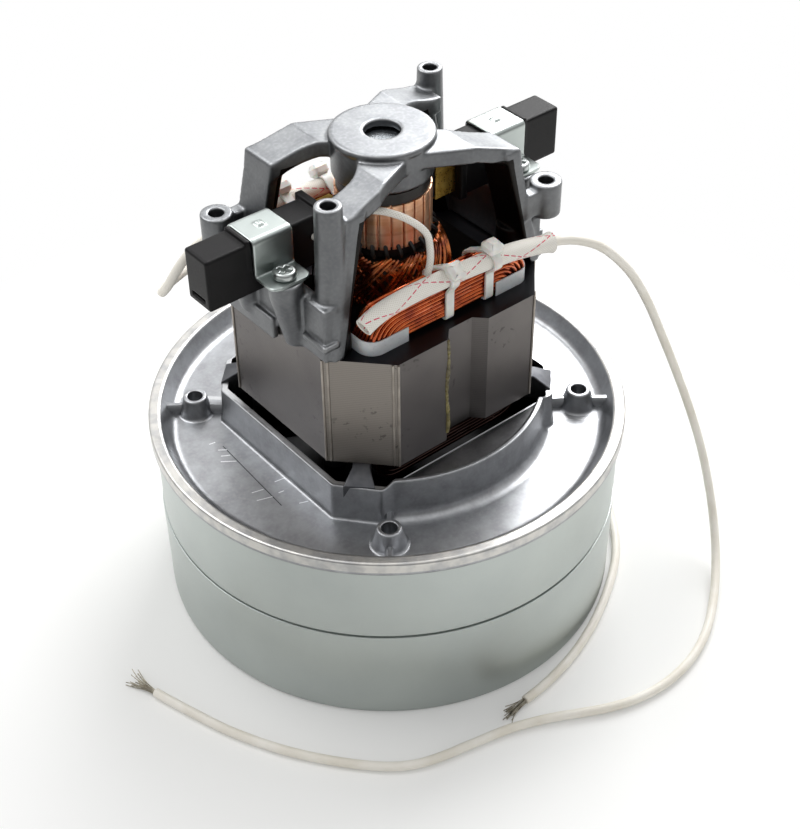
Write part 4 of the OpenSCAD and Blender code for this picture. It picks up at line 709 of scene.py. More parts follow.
SOLID_FINISHES = {
    ZINC: ["stage_divider"],
    FAN_SHEET: ["first_fan"],
    DUSTY_FAN: ["second_fan"],
    SCREW_STEEL: ["fan_washers", "fan_spacer", "bearing_spacer", "fan_nut", "core_bolts", "wave_washer"],
    BRIGHT_STEEL: ["shaft", "lower_inner_race", "lower_ball_set", "lower_outer_race", "upper_inner_race",
                   "upper_ball_set", "upper_outer_race"],
    CORE_STEEL: ["field_core", "armature_core"],
    FILM: ["slot_liners_front", "slot_liners_back"],
    RESIN: ["commutator_hub"],
    BRASS: ["brush_tube_left", "brush_tube_right"],
    CARBON: ["carbon_brush_left", "carbon_brush_right"],
}
for material, names in SOLID_FINISHES.items():
    for name in names:
        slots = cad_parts[name].data.materials
        slots.clear()
        slots.append(material)

# Camera, light and floor

EYE = np.array([-0.2261, -0.2842, 0.36635])
FOCAL_PIXELS, LONG_SIDE, SENSOR = 1533.25, 829, 36.0
AIM, LAMP_SIZE = (0, 0, 0.08), 0.6
FLOOR_R, FLOOR_DROP = 3000, 0.05
TURN, YAW, PITCH, ROLL = math.radians(38.5), 0.011, 0.707, -0.011


def placed(name, data, sides, place):
    """A camera or lamp at a place, turned so that its right, top and back face the three sides."""
    obj = linked(name, data)
    matrix = np.eye(4)
    matrix[:3, :3], matrix[:3, 3] = np.stack(sides, 1), place
    obj.matrix_world = Matrix(matrix)
    return obj


def add_camera():
    """A camera that looks down by PITCH, YAW off the line to the shaft and ROLL off level."""
    ahead = np.array([math.sin(YAW) * math.cos(PITCH), math.cos(YAW) * math.cos(PITCH), -math.sin(PITCH)])
    right = unit(np.cross(ahead, [0, 0, 1]))
    up = np.cross(right, ahead)
    across = right * math.cos(ROLL) + up * math.sin(ROLL)
    upright = up * math.cos(ROLL) - right * math.sin(ROLL)
    spin = np.array([[math.cos(TURN), math.sin(TURN), 0], [-math.sin(TURN), math.cos(TURN), 0], [0, 0, 1]])
    lens = bpy.data.cameras.new("Camera")
    lens.sensor_width = SENSOR
    lens.lens = FOCAL_PIXELS / LONG_SIDE * SENSOR
    bpy.context.scene.camera = placed("Camera", lens, (spin @ across, spin @ upright, spin @ -ahead), EYE)


def add_lamp(name, place, aim, size, power):
    """A square soft box at place, facing aim."""
    lamp = bpy.data.lights.new(name, "AREA")
    lamp.size = size
    lamp.energy = power
    back = unit(np.array(place, float) - np.array(aim, float))
    side = unit(np.cross([0, 0, 1.0], back))
    placed(name, lamp, (side, np.cross(back, side), back), place)


def add_world():
    """A white studio: all white to the camera and through glass, in metal brightest above and behind."""
    world = bpy.data.worlds.new("Studio")
    bpy.context.scene.world = world
    tree = empty_tree(world)
    ray = add(tree, "ShaderNodeLightPath")
    seen = add(tree, "ShaderNodeMath", {0: ray.outputs["Is Camera Ray"],
                                        1: ray.outputs["Is Transmission Ray"]}, operation="MAXIMUM")
    up = add(tree, "ShaderNodeVectorMath", {0: add(tree, "ShaderNodeTexCoord").outputs["Generated"],
                                            1: (0.36, 0.36, 0.86)}, operation="DOT_PRODUCT")
    level = add(tree, "ShaderNodeMapRange", {"Value": up, "From Min": 0.05, "From Max": 0.75,
                                             "To Min": 0.27, "To Max": 1.0})
    lit = add(tree, "ShaderNodeBackground", {"Color": colour("#ffffff"), "Strength": 0.6})
    gloss = add(tree, "ShaderNodeBackground", {"Color": colour("#ffffff"), "Strength": level})
    white = add(tree, "ShaderNodeBackground", {"Color": colour("#ffffff"), "Strength": 1.0})
    soft = add(tree, "ShaderNodeMixShader", {0: ray.outputs["Is Glossy Ray"], 1: lit, 2: gloss})
    sky = add(tree, "ShaderNodeMixShader", {0: seen, 1: soft, 2: white})
    add(tree, "ShaderNodeOutputWorld", {"Surface": sky})


def add_floor():
    """A pale disc that keeps the part's soft shadow, and turns all white to the camera further out."""
    mat = bpy.data.materials.new("Pale studio floor")
    tree = empty_tree(mat)
    ray = add(tree, "ShaderNodeLightPath")
    away = add(tree, "ShaderNodeVectorMath", {0: add(tree, "ShaderNodeTexCoord").outputs["Object"]},
               operation="LENGTH")
    share = add(tree, "ShaderNodeMapRange", {"Value": away, "From Min": 0.1, "From Max": 0.22,
                                             "To Min": 0.15, "To Max": 1.0})
    seen = add(tree, "ShaderNodeMath", {0: ray.outputs["Is Camera Ray"], 1: share}, operation="MULTIPLY")
    matt = add(tree, "ShaderNodeBsdfDiffuse", {"Color": colour("#f4f4f2")})
    glow = add(tree, "ShaderNodeEmission", {"Color": colour("#ffffff"), "Strength": 1.0})
    mix = add(tree, "ShaderNodeMixShader", {0: seen, 1: matt, 2: glow})
    add(tree, "ShaderNodeOutputMaterial", {"Surface": mix})
    a = np.linspace(0, 2 * math.pi, 96, endpoint=False)
    mesh = bpy.data.meshes.new("Floor")
    mesh.from_pydata(polar(FLOOR_R, a, -FLOOR_DROP) * MM, [], [list(range(len(a)))])
    mesh.materials.append(mat)
    floor = linked("Floor", mesh)


bpy.context.scene.view_settings.view_transform = "Standard"
add_camera()
add_world()
add_floor()
add_lamp("Key", (0.68, 0.34, 0.72), AIM, LAMP_SIZE, 9)
add_lamp("Back", (-0.25, 0.5, 0.92), AIM, LAMP_SIZE, 3.5)

# Leads

LEAD_R = 1.4
LEAD_FRONT_ROUTE = [
    [34.2, -32.4, 122.4], [37.6, -33, 121.8], [42, -35, 121], [48, -37.4, 118], [54, -39, 112.4],
    [61.6, -40.4, 102.6], [69, -41.4, 89.6], [74.8, -43.2, 76], [79.6, -47, 61.2], [83, -52, 46.6],
    [84.2, -58, 33], [82.6, -65, 20.4], [78.4, -72.4, 10.6], [71.8, -79.8, 4.6], [62, -88, 2],
    [50.4, -95.4, 1.5], [38.4, -100, 1.5], [26, -101.6, 1.5], [15, -100.4, 1.5], [6, -97.4, 1.5],
    [-2, -93.4, 1.5], [-11, -88.6, 1.5], [-22.4, -84, 1.5], [-35.4, -80.8, 1.5], [-45.4, -78.4, 1.5],
    [-53.4, -75.2, 1.5], [-61, -69.4, 1.5], [-70.4, -58.8, 1.5], [-79, -46.4, 1.5], [-86.4, -32, 1.5],
    [-91, -19.4, 1.5], [-94, -10.4, 1.5], [-95.6, -5, 1.5]]
FRONT_BARE_ROUTE = [[-95.6, -5, 1.5], [-97, 0, 1.4], [-98.4, 5, 1.2]]
LEAD_BACK_ROUTE = [
    [-34.2, 32.4, 122.4], [-40, 32.8, 121.4], [-45, 33, 118.8], [-48.8, 33.6, 114.8], [-51.2, 35.2, 110],
    [-51.4, 38.8, 105.6], [-48.8, 42.8, 103.2], [-44.4, 45.4, 102.6], [-38.6, 47.4, 102.6], [-31, 50, 102.4],
    [-21, 54, 101.2], [-10, 58.8, 98.2], [0, 64, 92.4], [8, 68.8, 83.6], [13.4, 72.6, 73], [16.6, 75.4, 60],
    [18.2, 77.2, 46], [19.2, 78.2, 32], [21, 78.4, 19], [25, 77.4, 9], [31.6, 74.8, 3.2], [40.6, 69, 1.5],
    [52.6, 60, 1.5], [63.4, 48, 1.5], [71.4, 34, 1.5], [76, 18, 1.5], [77.4, 2, 1.5], [75.6, -14, 1.5],
    [70.6, -29, 1.5], [62.6, -42.6, 1.5], [53.4, -53, 1.5], [43.6, -60.4, 1.5], [32.4, -67, 1.5],
    [21.6, -72, 1.5], [10.4, -75.8, 1.5], [-1.6, -78.2, 1.5], [-12, -79, 1.5]]
BACK_BARE_ROUTE = [[-12.2, -79, 1.5], [-17, -79.2, 1.4], [-21.6, -79.6, 1.2]]
STRANDS = 22
STRAND_R = 0.14


def frayed(route, seed):
    """Bare strands that leave the cut end side by side and spread as the square of the way out, above the
    floor."""
    draw = np.random.default_rng(seed)
    line = through(route, 6)
    way = along(line) / along(line)[-1]
    _, side, other = carried_frame(line)
    angle, spread = draw.uniform(0, 2 * math.pi, STRANDS), draw.uniform(0.4, 3.2, STRANDS)
    curl, reach = draw.uniform(-1.6, 1.6, STRANDS), draw.uniform(0.55, 1.0, STRANDS)
    t = way[None, :] * reach[:, None]
    root = 0.9 * np.sqrt(draw.uniform(0, 1, STRANDS))[:, None]
    out = root + spread[:, None] * t ** 2
    turn = angle[:, None] + curl[:, None] * t
    at = np.stack([np.interp(t, way, line[:, k]) for k in range(3)], -1)
    paths = at + (out * np.cos(turn))[..., None] * side[None] + (out * np.sin(turn))[..., None] * other[None]
    paths[..., 2] = np.maximum(paths[..., 2], 2 * STRAND_R)
    return bunch(paths, np.array([0.0, 0.3, 1.0]), STRAND_R)


def lead(name, route, bare_route, seed):
    """A round lead on its route, blunt at the cut end, and its frayed strands."""
    path = through(route)
    run = along(path)
    stations = [(0, 0.9 * LEAD_R)] + [(s, LEAD_R) for s in np.arange(0.3, run[-1] - 0.3, 1.5)]
    stations += [(run[-1] - 0.2, LEAD_R), (run[-1], 0.86 * LEAD_R)]
    fray = piece(name + "_fray", frayed(bare_route, seed), TINNED, [name + "_strands"])
    cord = piece(name + "_cord", tube(path, stations, 14), SILICONE, [name])


lead("lead_front", LEAD_FRONT_ROUTE, FRONT_BARE_ROUTE, 3)
lead("lead_back", LEAD_BACK_ROUTE, BACK_BARE_ROUTE, 8)

# Fan casing


def casings():
    """Two pressed shells turned from their wall profiles, with the seam as a narrow step between them."""
    r, top = CASING_R, CASING_TOP
    lower = rounded([[INLET_R, 0], [r, 0], [r, top], [r - WALL, top], [r - WALL, WALL],
                     [INLET_R + WALL, WALL], [INLET_R + WALL, INLET_LIP], [INLET_R, INLET_LIP]],
                    [1.5, 1.8, 0.25, 0.2, 0.7, 0.4, 0.2, 0.2], closed=True)
    step, out, low, high = top + SEAM_GAP, UPPER_HIGH[0], UPPER_LOW[2], UPPER_HIGH[2]
    inner = JOGGLE_R - WALL
    upper = rounded([[inner, low], [JOGGLE_R, low], [JOGGLE_R, step], [out, step], [out, high],
                     [out - WALL, high], [out - WALL, step + WALL], [inner, step + WALL]],
                    [0.2, 0.2, 0.2, 0.25, 0.2, 0.2, 0.2, 0.2], closed=True)
    piece("lower_shell", [revolve(lower, 256)], ZINC, ["lower_casing"])
    piece("upper_shell", [revolve(upper, 256)], ZINC, ["upper_casing"])


casings()

# Base flange

FLANGE_STEPS = 600
COLLAR_R, COLLAR_TOP, COLLAR_FLAT_TOP = 48.4, 72.6, 71.2
COLLAR_CORNERS = np.array([[42.3, 27.5], [33.0, 38.5]])
OPENING_CORNERS = np.array([[40.3, 26.8], [31.0, 37.9]])
CAVITY_R, CAVITY_X, CAVITY_TOP = 46.4, 31.0, 69.3
BOSS_TURNS = BOSS_TURN + np.arange(4) * math.pi / 2


def eight_sided(corners):
    """An outline, counted against the clock, from its two corners in the first quarter."""
    a, b = corners
    half = np.array([[a[0], -a[1]], a, b, [-b[0], b[1]]])
    return np.concatenate([half, -half])


def facing(turn, corners):
    """Radius of a convex outline in each direction u: the least of d / (n . u) over its edges."""
    way = np.roll(corners, -1, 0) - corners
    normal = unit(np.stack([way[:, 1], -way[:, 0]], -1))
    ahead = np.stack([np.cos(turn), np.sin(turn)], -1) @ normal.T
    reach = (normal * corners).sum(1) / np.maximum(ahead, 1e-6)
    return np.where(ahead > 1e-6, reach, 1e9).min(1)


def softened(values, degrees):
    """A ring of values blurred by a bell curve that many degrees wide."""
    wave = np.fft.fftfreq(len(values)) * len(values) * math.radians(degrees)
    return np.fft.ifft(np.fft.fft(values) * np.exp(-wave ** 2 / 2)).real


def dish():
    """Rim, dished floor, collar and shelf: a wall profile whose collar radius changes with direction."""
    turn = np.linspace(0, 2 * math.pi, FLANGE_STEPS, endpoint=False)
    straight = np.maximum(np.abs(np.cos(turn)), 1e-6)
    flat = facing(turn, eight_sided(COLLAR_CORNERS))
    lobe = np.minimum(COLLAR_R, COLLAR_CORNERS[1, 0] / straight)
    lobed = softened((lobe > flat).astype(float), 0.9)
    out = softened(np.maximum(flat, lobe), 0.5)
    edge = softened(facing(turn, eight_sided(OPENING_CORNERS)), 0.4)
    hollow = np.maximum(edge + 0.05, softened(np.minimum(CAVITY_R, CAVITY_X / straight), 0.5))
    top = COLLAR_FLAT_TOP + (COLLAR_TOP - COLLAR_FLAT_TOP) * lobed
    bead = out - 0.9 - 0.6 * lobed
    shelf = top - 0.02 - 0.9 * lobed
    spigot, rim, rim_in, floor_r = 70.7, RIM_R, 69.45, 66.25
    lip, rim_top = 60.2, 64.75
    same = np.ones_like(turn)
    corners = [(spigot, FLOOR_UNDER), (spigot, lip), (rim, lip), (rim, rim_top), (rim_in, rim_top),
               (floor_r, FLOOR_Z), (out + 0.5, FLOOR_Z), (out, top), (bead, top),
               (bead - 0.35 * lobed, shelf), (edge + 0.5 * lobed, shelf - 0.7 * lobed),
               (edge, shelf - 0.5 * lobed),
               (edge, CAVITY_TOP), (hollow, CAVITY_TOP), (hollow, FLOOR_UNDER)]
    corners = np.stack([np.stack([r * same, z * same], -1) for r, z in corners], 1)
    reach = [0.3, 0.3, 0.8, 0.9, 0.8, 1.8, 0, 0.5, 0.4, 0.3, 0.3, 0.2, 0.2, 0.2, 0.3]
    reach = np.stack([r * same for r in reach], 1)
    reach[:, 6] = 1.0 + 2.6 * lobed
    points, faces, marks = turned(rounded(corners, reach, 5, closed=True), turn)
    middle = BOSS_PITCH_R * np.stack([np.cos(BOSS_TURNS), np.sin(BOSS_TURNS)], -1)
    away = np.linalg.norm(points[:, None, :2] - middle, axis=-1).min(1)
    kept = ~(away[faces] < 5.0).all(1)
    return points, faces[kept], marks[kept]


def screw_boss(turn):
    """One screw boss with its bore and flared foot, and the two ribs that join it to collar and rim."""
    place = BOSS_PITCH_R * np.array([math.cos(turn), math.sin(turn)])
    bore, wide, foot, head, low, high = 2.3, 7.4, 5.2, 3.6, FLOOR_UNDER - 0.02, 65.2
    profile = rounded([[bore, low], [wide, low], [wide, FLOOR_Z - 0.1], [foot, FLOOR_Z], [head, high],
                       [bore, high]], [0.1, 0.1, 0.1, 1.6, 0.6, 0.4], closed=True)
    parts = [revolve(profile, 48, place)]
    for near, far in ((45.6, 55.6), (62.4, 70.4)):
        outline = box_outline((far - near) / 2, 1.3, 0.5) + [(near + far) / 2, 0]
        parts += moved(prism(outline, 57, 62, 0.7), turn)
    return parts


def pad(x, y):
    """A wedge under a corner of the core, that falls and widens outwards to the collar: sections along u."""
    slant = np.array([[0.7071, 0.7071], [-0.7071, 0.7071]])
    rings = []
    for u, half, top in ((42.2, 2.6, 74.4), (44.6, 2.6, 74.4), (49.8, 4.6, 71.6)):
        outline = rounded([[-half, 66], [half, 66], [half, top], [-half, top]], 0.5, 3, closed=True)
        plan = np.stack([np.full(len(outline), u), outline[:, 0] - 2.6], -1) @ slant
        rings.append(np.column_stack([plan * [x, y], outline[:, 1]]))
    return capped(np.stack(rings)[:, ::x * y])


def spider(p):
    """Distance to the hub of the lower bearing with its four arms, and the posts and pads under the core."""
    hub = peg(p, AXIS, 52.5, 62.6, 14.5, 14.5, 0.6)
    post, bolt = 1e9, 1e9
    for x, y in QUARTERS:
        place = BOLT_X * x, BOLT_Y * y
        spoke = block(facing_way(p, math.atan2(place[1], place[0])), (23, 0, 58.25), (23, 4.5, 2.25), 0.6)
        hub = union(hub, spoke, 1.5)
        post = np.minimum(post, peg(p, place, FLOOR_UNDER, CORE_FOOT - 0.05, 3.6, 3.6, 0.3))
        bolt = np.minimum(bolt, peg(p, place, 40, 90, 2.2, 2.2, 0.1))
    shape = carve(union(hub, post, 1.0), bolt)
    return carve(shape, peg(p, AXIS, 40, 90, BEARING_R, BEARING_R, 0.1))


flange_parts = [dish()] + [part for turn in BOSS_TURNS for part in screw_boss(turn)]
flange_parts.append(surface_net(spider, (-43, -33, 50), (43, 33, 77), 0.85))
piece("cast_base", flange_parts, CAST_BASE, ["base_flange"], 50)
# the pads carry painted shade
piece("core_pads", [part for x, y in QUARTERS for part in pad(x, y)], PAD_PAINTED_SHADE)

# Top bracket

# Each arm in plan: two lines of its outer edge, two of its inner edge, and how far along X it ends
SHORT_ARM = ([(-0.482, 0.876, 11.83), (-0.220, 0.976, 17.6)],
             [(0.707, -0.707, 4.74), (0.203, -0.979, -6.49)], 28.2)
LONG_ARM = ([(-0.410, 0.912, 11.67), (-0.100, 0.995, 18.8)],
            [(0.707, -0.707, 5.1), (0.020, -1.0, -10.7)], 31.0)


def past(p, line):
    """How far a point lies past a line a x + b y = c in plan."""
    return line[0] * p[:, 0] + line[1] * p[:, 1] - line[2]


def arm(p, edges):
    """Distance to an arm: two lines bound its outer edge, two joined by a fillet its inner one, and its top
    is level up to 15 along X and then slopes down by 4.2."""
    outer, inner, end = edges
    side = np.maximum(past(p, outer[0]), past(p, outer[1]))
    hollow = union(past(p, inner[0]), past(p, inner[1]), 3.0)
    middle = 152.8 - 4.2 * np.clip((p[:, 0] - 15) / 13.2, 0, 1)
    level = np.abs(p[:, 2] - middle) - 2.4
    return near_box(np.stack([side, hollow, p[:, 0] - end, -p[:, 0], level], 1), 0.5)


def leg(p, low_y, high_y, spread):
    """Distance to a leaning plate 5 thick from the arms to the core, wider by spread at its foot."""
    down = np.clip((151 - p[:, 2]) / 40, 0, 1)
    outer = 28.2 + 9.3 * down
    return near_box(np.stack([p[:, 0] - outer, outer - 5.0 + 1.6 * down - p[:, 0], low_y - p[:, 1],
                              p[:, 1] - high_y - spread * down, np.abs(p[:, 2] - 130.9) - 19.9], 1), 0.5)


def strap_boss(p, y):
    """Distance to a screw boss that thins and draws in towards its foot."""
    way = np.clip((p[:, 2] - CORE_TOP) / 16, 0, 1)
    drawn = p + np.stack([2.6 * (1 - way), 0 * way, 0 * way], 1)
    return peg(drawn, (STRAP_SCREW_X, y), CORE_TOP, 132.4, 3.2, 4.9, 0.5)


def bracket_side(p):
    """Right half of the bracket: arms, legs, wall and skirt, then the bosses joined on with small fillets."""
    over = p * [1, -1, 1]
    shape = union(arm(over, SHORT_ARM), leg(over, 12.7, 24.4, 0.4), 1.6)
    shape = union(shape, union(arm(p, LONG_ARM), leg(p, 12.0, 21.9, 3.2), 1.6), 1.0)
    shape = union(shape, block(p, (37.3, 0, 119.5), (2.3, 24, 8.4), 0.6), 1.5)
    shape = union(shape, block(p, (40.25, -9, 110.8), (1.0, 11, 3.4), 0.5), 0.6)
    shape = union(shape, block(p, (38.3, 20.4, 116.6), (2.6, 5.0, 0.9), 0.4), 0.5)
    shape = union(shape, block(p, (35.8, -23, 130.8), (4.5, 2.0, 3.8), 0.5), 1.0)
    shape = union(shape, peg(p, TALL_BOSS, 111, 156.4, 4.8, 3.7, 0.5), 1.4)
    shape = union(shape, peg(p, LOW_BOSS, 125.5, 136.1, 4.6, 4.6, 0.5), 1.0)
    for y in (-1, 1):
        shape = union(shape, peg(p, (BOLT_X, BOLT_Y * y), 111, 122, 4.8, 4.8, 0.5), 1.2)
        shape = union(shape, strap_boss(p, STRAP_SCREW_Y * y), 1.2)
    return shape


def bracket_bores(p):
    """Bores of the right half: tall boss, core bolts, low boss and strap screws."""
    bores = np.minimum(peg(p, TALL_BOSS, 142.4, 160, 2.1, 2.1, 0.1),
                       peg(p, LOW_BOSS, 120, 140, 2.2, 2.2, 0.1))
    for y in (-1, 1):
        bores = np.minimum(bores, peg(p, (BOLT_X, BOLT_Y * y), 105, 120, 2.1, 2.1, 0.1))
        bores = np.minimum(bores, peg(p, (STRAP_SCREW_X, STRAP_SCREW_Y * y), 122, 140, 1.7, 1.7, 0.1))
    return bores


def bracket(p):
    """The bearing housing and its cap, both halves of the bracket, and all that is bored out of them."""
    across = p * [-1, -1, 1]
    hub = union(peg(p, AXIS, 145.2, 156, 14.3, 14.3, 0.5), peg(p, AXIS, 155.2, CAP_TOP, 14.7, 14.7, 0.8), 0.3)
    shape = union(hub, np.minimum(bracket_side(p), bracket_side(across)), 0.8)
    shape = np.maximum(shape, p[:, 2] - CAP_TOP)
    room = block(p, (0, 0, 105), (29.8, 30.2, 10.65), 0.3)
    room = np.minimum(room, peg(p, AXIS, 140, 155, BEARING_R, BEARING_R, 0.1))
    room = np.minimum(room, peg(p, AXIS, 150, 165, 5.1, 5.1, 0.1))
    return carve(shape, np.minimum(room, np.minimum(bracket_bores(p), bracket_bores(across))), 0.35)


BRACKET = surface_net(bracket, (-47, -31, 105), (47, 31, 159), 0.55)
piece("cast_bracket", [BRACKET], CAST_TOP, ["top_bracket"], 70)

# Brush gear, made on the right and turned for the left


def holder(p):
    """A moulded box with a lip at its inner end, a ridge beside the strap, a bore and a slot in its end."""
    shape = block(p, (42.5, 0, BRUSH_Z), (19.5, 5.0, 7.75), 0.7)
    shape = union(shape, block(p, (24.25, 0, 136.25), (1.25, 6.5, 8.25), 0.4), 0.3)
    shape = union(shape, block(p, (48.7, 0, 140), (0.7, 5.0, 4.4), 0.3), 0.3)
    room = block(p, (35, 0, BRUSH_Z), (25.0, 4.0, 5.8), 0.2)
    room = np.minimum(room, block(p, (62, 0, 130.5), (1.0, 3.0, 0.5), 0.1))
    return carve(shape, room, 0.25)


def strap():
    """A bent strip: a round-edged section carried along the line foot, side, top, side, foot.

    Its half width follows a quarter circle at the ends of the feet, and a pressed mark rises on its top."""
    half_t, inner, foot, mark_h, half_w, corner_r = STRAP_T / 2, 5.15, 9.0, 0.7, 6.25, 2.4
    low, side, high = STRAP_LOW[2] + half_t, inner + half_t, STRAP_HIGH[2] - mark_h - half_t
    line = rounded([[-inner - foot, low], [-side, low], [-side, high], [side, high], [side, low],
                    [inner + foot, low]], 1.3, 6)
    run = along(line)
    place = np.linspace(0, run[-1], 190)
    y, z = np.interp(place, run, line[:, 0]), np.interp(place, run, line[:, 1])
    way = unit(np.stack([np.gradient(y), np.gradient(z)], -1))
    end = np.minimum(np.minimum(place, run[-1] - place), corner_r)
    half = half_w - corner_r + np.sqrt(np.maximum(corner_r ** 2 - (corner_r - end) ** 2, 0.01))
    x = np.linspace(-1, 1, 41)
    section = np.concatenate([np.stack([x, 1 + 0 * x], -1), np.stack([x[::-1], 0 * x - 1], -1)])
    lift = half_t * (1 - 0.35 * (np.abs(section[:, 0]) > 0.99))
    dimple = ease(1.5 - np.abs(section[:, 0] * half_w)) * ease(1.7 - np.abs(y[:, None]))
    rise = section[:, 1] * lift + mark_h * dimple * (z[:, None] > high - 0.2)
    across = STRAP_LOW[0] + half_w + half[:, None] * section[:, 0]
    return capped(np.stack([across, y[:, None] - way[:, 1:] * rise, z[:, None] + way[:, :1] * rise], -1))


def screw(p):
    """A pan head with a cross recess, and its shank."""
    head = peg(p, AXIS, 0, 2.2, 3.4, 3.2, 0.8)
    shape = np.minimum(head, peg(p, AXIS, -6, 0.5, 1.5, 1.5, 0.1))
    for turn in (30, 120):
        slot = block(facing_way(p, math.radians(turn)), (0, 0, 2.2), (2.0, 0.55, 1.4), 0.1)
        shape = carve(shape, slot, 0.15)
    return shape


def spring():
    """A wire carried round seven curls between the brush and the end of its tube."""
    curls, steps, start, reach, curl_r, wire_r = 7, 7 * 22, 39.3, 20.2, 2.35, 0.35
    way = np.linspace(0, 1, steps + 1)
    turn = 2 * math.pi * curls * way
    path = np.stack([start + reach * way, curl_r * np.cos(turn), BRUSH_Z + curl_r * np.sin(turn)], -1)
    return tube(path, [(s, wire_r) for s in np.linspace(0, along(path)[-1], steps)], 8)


SIDES = {"right": (0.0, 1), "left": (math.pi, -1)}
HOLDER = surface_net(holder, (21, -8, 126), (64, 8, 147), 0.45)
STRAP, SPRING = strap(), spring()
SCREW = surface_net(screw, (-4, -4, -7), (4, 4, 3), 0.22)
for side, (turn, sign) in SIDES.items():
    piece("moulded_holder_" + side, moved([HOLDER], turn), BAKELITE,
          ["brush_holder_" + side], 70)
    piece("pressed_strap_" + side, moved(STRAP, turn), STRAP_ZINC,
          ["brush_strap_" + side], 55)
    coil = piece("wire_spring_" + side, moved(SPRING, turn), BRIGHT_STEEL,
                 ["brush_spring_" + side])
    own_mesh(coil)
screws = [part for x, y in QUARTERS
          for part in moved([SCREW], 0.0, (STRAP_SCREW_X * x, STRAP_SCREW_Y * y, STRAP_LOW[2] + STRAP_T))]
piece("cross_screws", screws, SCREW_STEEL, ["strap_screws"], 60)

# Commutator and armature winding

BARS, BAR_R, BAR_ROOT_R, BAR_FOOT = 24, 13.7, 9.0, 127.0
SLOTS, WIRE_SLOT_R = 12, 14.3


def bars():
    """Copper bars as one turned skin: its radius drops into a slot between each two bars."""
    gap = 0.3 / BARS_HIGH[0]
    pitch = 2 * math.pi / BARS
    cell = np.array([-gap, -gap * 0.96, -gap * 0.9, gap * 0.9, gap * 0.96, gap, gap * 1.5])
    more = np.linspace(gap * 2.5, pitch - gap * 2.5, 7)
    cell = np.concatenate([cell, more, [pitch - gap * 1.5]])
    deep = np.concatenate([[0.12, 1.1, 1.4, 1.4, 1.1, 0.12, 0.02], np.zeros(7), [0.02]])
    turn = (np.arange(BARS)[:, None] * pitch + cell).ravel()
    radius = BAR_R - np.tile(deep, BARS)
    root, low, high = (size + 0 * turn for size in (BAR_ROOT_R, BAR_FOOT, BARS_HIGH[2]))
    corners = [(root, low), (radius, low), (radius, high), (root, high)]
    return turned(rounded(np.stack([np.stack(c, -1) for c in corners], 1), 0.3, 4, closed=True), turn)


def hooks():
    """One bent tang to each bar, with the wire that it grips."""
    turn = (np.arange(BARS) + 0.5)[:, None] * 2 * math.pi / BARS
    t = np.linspace(0, 1, 9)[None]
    root, out, high, drop, lean = 13.0, 2.0, 128.6, 3.6, 0.05
    r, z, a = root + out * np.sin(math.pi * t * 0.8), high - drop * t, turn + lean * t
    return bunch(polar(r, a, z), polar(1, a, 0), 0.62, 6)


def dome(t, lift):
    """Radius and height on the upper end winding, a quarter ellipse from foot to hooks, raised by lift."""
    bend = t * math.pi / 2
    inner, wide, tall = WIRE_SLOT_R, 3.3, 12.0
    return inner + (wide + lift) * np.cos(bend), CORE_TOP + 0.15 + (tall + lift) * np.sin(bend)


def strands(each, skew, lift, thick, turn, seed):
    """A bunch of wires over the end winding for each slot, leaning by skew on its way up and fanning out."""
    draw = np.random.default_rng(seed)
    count = SLOTS * each
    t = np.linspace(0.02, 0.97, 14)[None]
    sway = draw.uniform(-0.05, 0.05, (count, 1)) * np.sin(math.pi * t)
    bunch_no, wire_no = np.divmod(np.arange(count)[:, None], each)
    across = 2 * wire_no / (each - 1) - 1
    rise = lift + draw.uniform(-0.2, 0.2, (count, 1)) - 0.9 * across ** 2
    r, z = dome(t + 0 * rise, rise)
    fan = across * (0.16 + 0.06 * np.sin(math.pi * t))
    a = (bunch_no + turn) * math.pi / 6 + fan + skew * t + sway
    return bunch(polar(r, a, z), polar(1, a, 0.6 * t), thick, 6)


def winding():
    """Varnish-filled body of both end windings, and the bars in the slots."""
    t = np.linspace(0, 1, 14)
    r, z = dome(t, 0.0)
    root, foot = 9.5, CORE_FOOT
    upper = np.concatenate([[[root, z[0]]], np.stack([r, z], -1), [[root, z[-1]]]])
    low, high, out = foot - 9.5, foot - 0.1, 17.6
    lower = rounded([[root, low], [out, low], [out, high], [root, high]], 2.0, 5, True)
    slot = box_outline(3.6, 1.4, 0.3) + [WIRE_SLOT_R, 0]
    fill = prism(slot, foot - 1, CORE_TOP + 1, 0.2)
    fills = [part for k in range(SLOTS) for part in moved(fill, k * math.pi / 6)]
    return [revolve(upper, 96), revolve(lower, 72)] + fills


piece("turned_bars", [bars()], COPPER_BAR, ["commutator_bars"], 35, "rotor")
piece("bar_hooks", hooks(), RESIN, body="rotor")
piece("winding_strands", strands(6, -0.8, 0.5, 0.5, 0.0, 5) + strands(6, 0.75, 1.4, 0.5, 0.5, 6), BAKED,
      sharp=50, body="rotor")
piece("baked_winding", winding(), RESIN, ["armature_winding"], 50, "rotor")

# Core seams


def seams():
    """Upright beads along the edges of the corner cuts, two side by side on each."""
    x, y = CORE_HIGH[0], CORE_HIGH[1]
    ends = np.array([[[x, y - 15.2], [x - 14.2, y]], [[x - 14.2, y], [x, y - 15.2]]])
    start = ends[:, 0]
    beside = start + 1.5 * unit(ends[:, 1] - start)
    quarter = np.concatenate([start, beside])
    foot = np.concatenate([quarter * sign for sign in ([1, 1], [-1, 1], [-1, -1], [1, -1])])
    paths = np.stack([np.column_stack([foot, np.full(len(foot), z)])
                      for z in np.linspace(CORE_FOOT + 0.3, CORE_TOP - 0.3, 4)], 1)
    outward = np.concatenate([unit(foot), np.zeros((len(foot), 1))], 1)[:, None] + 0 * paths
    return bunch(paths, outward, 0.42, 8)


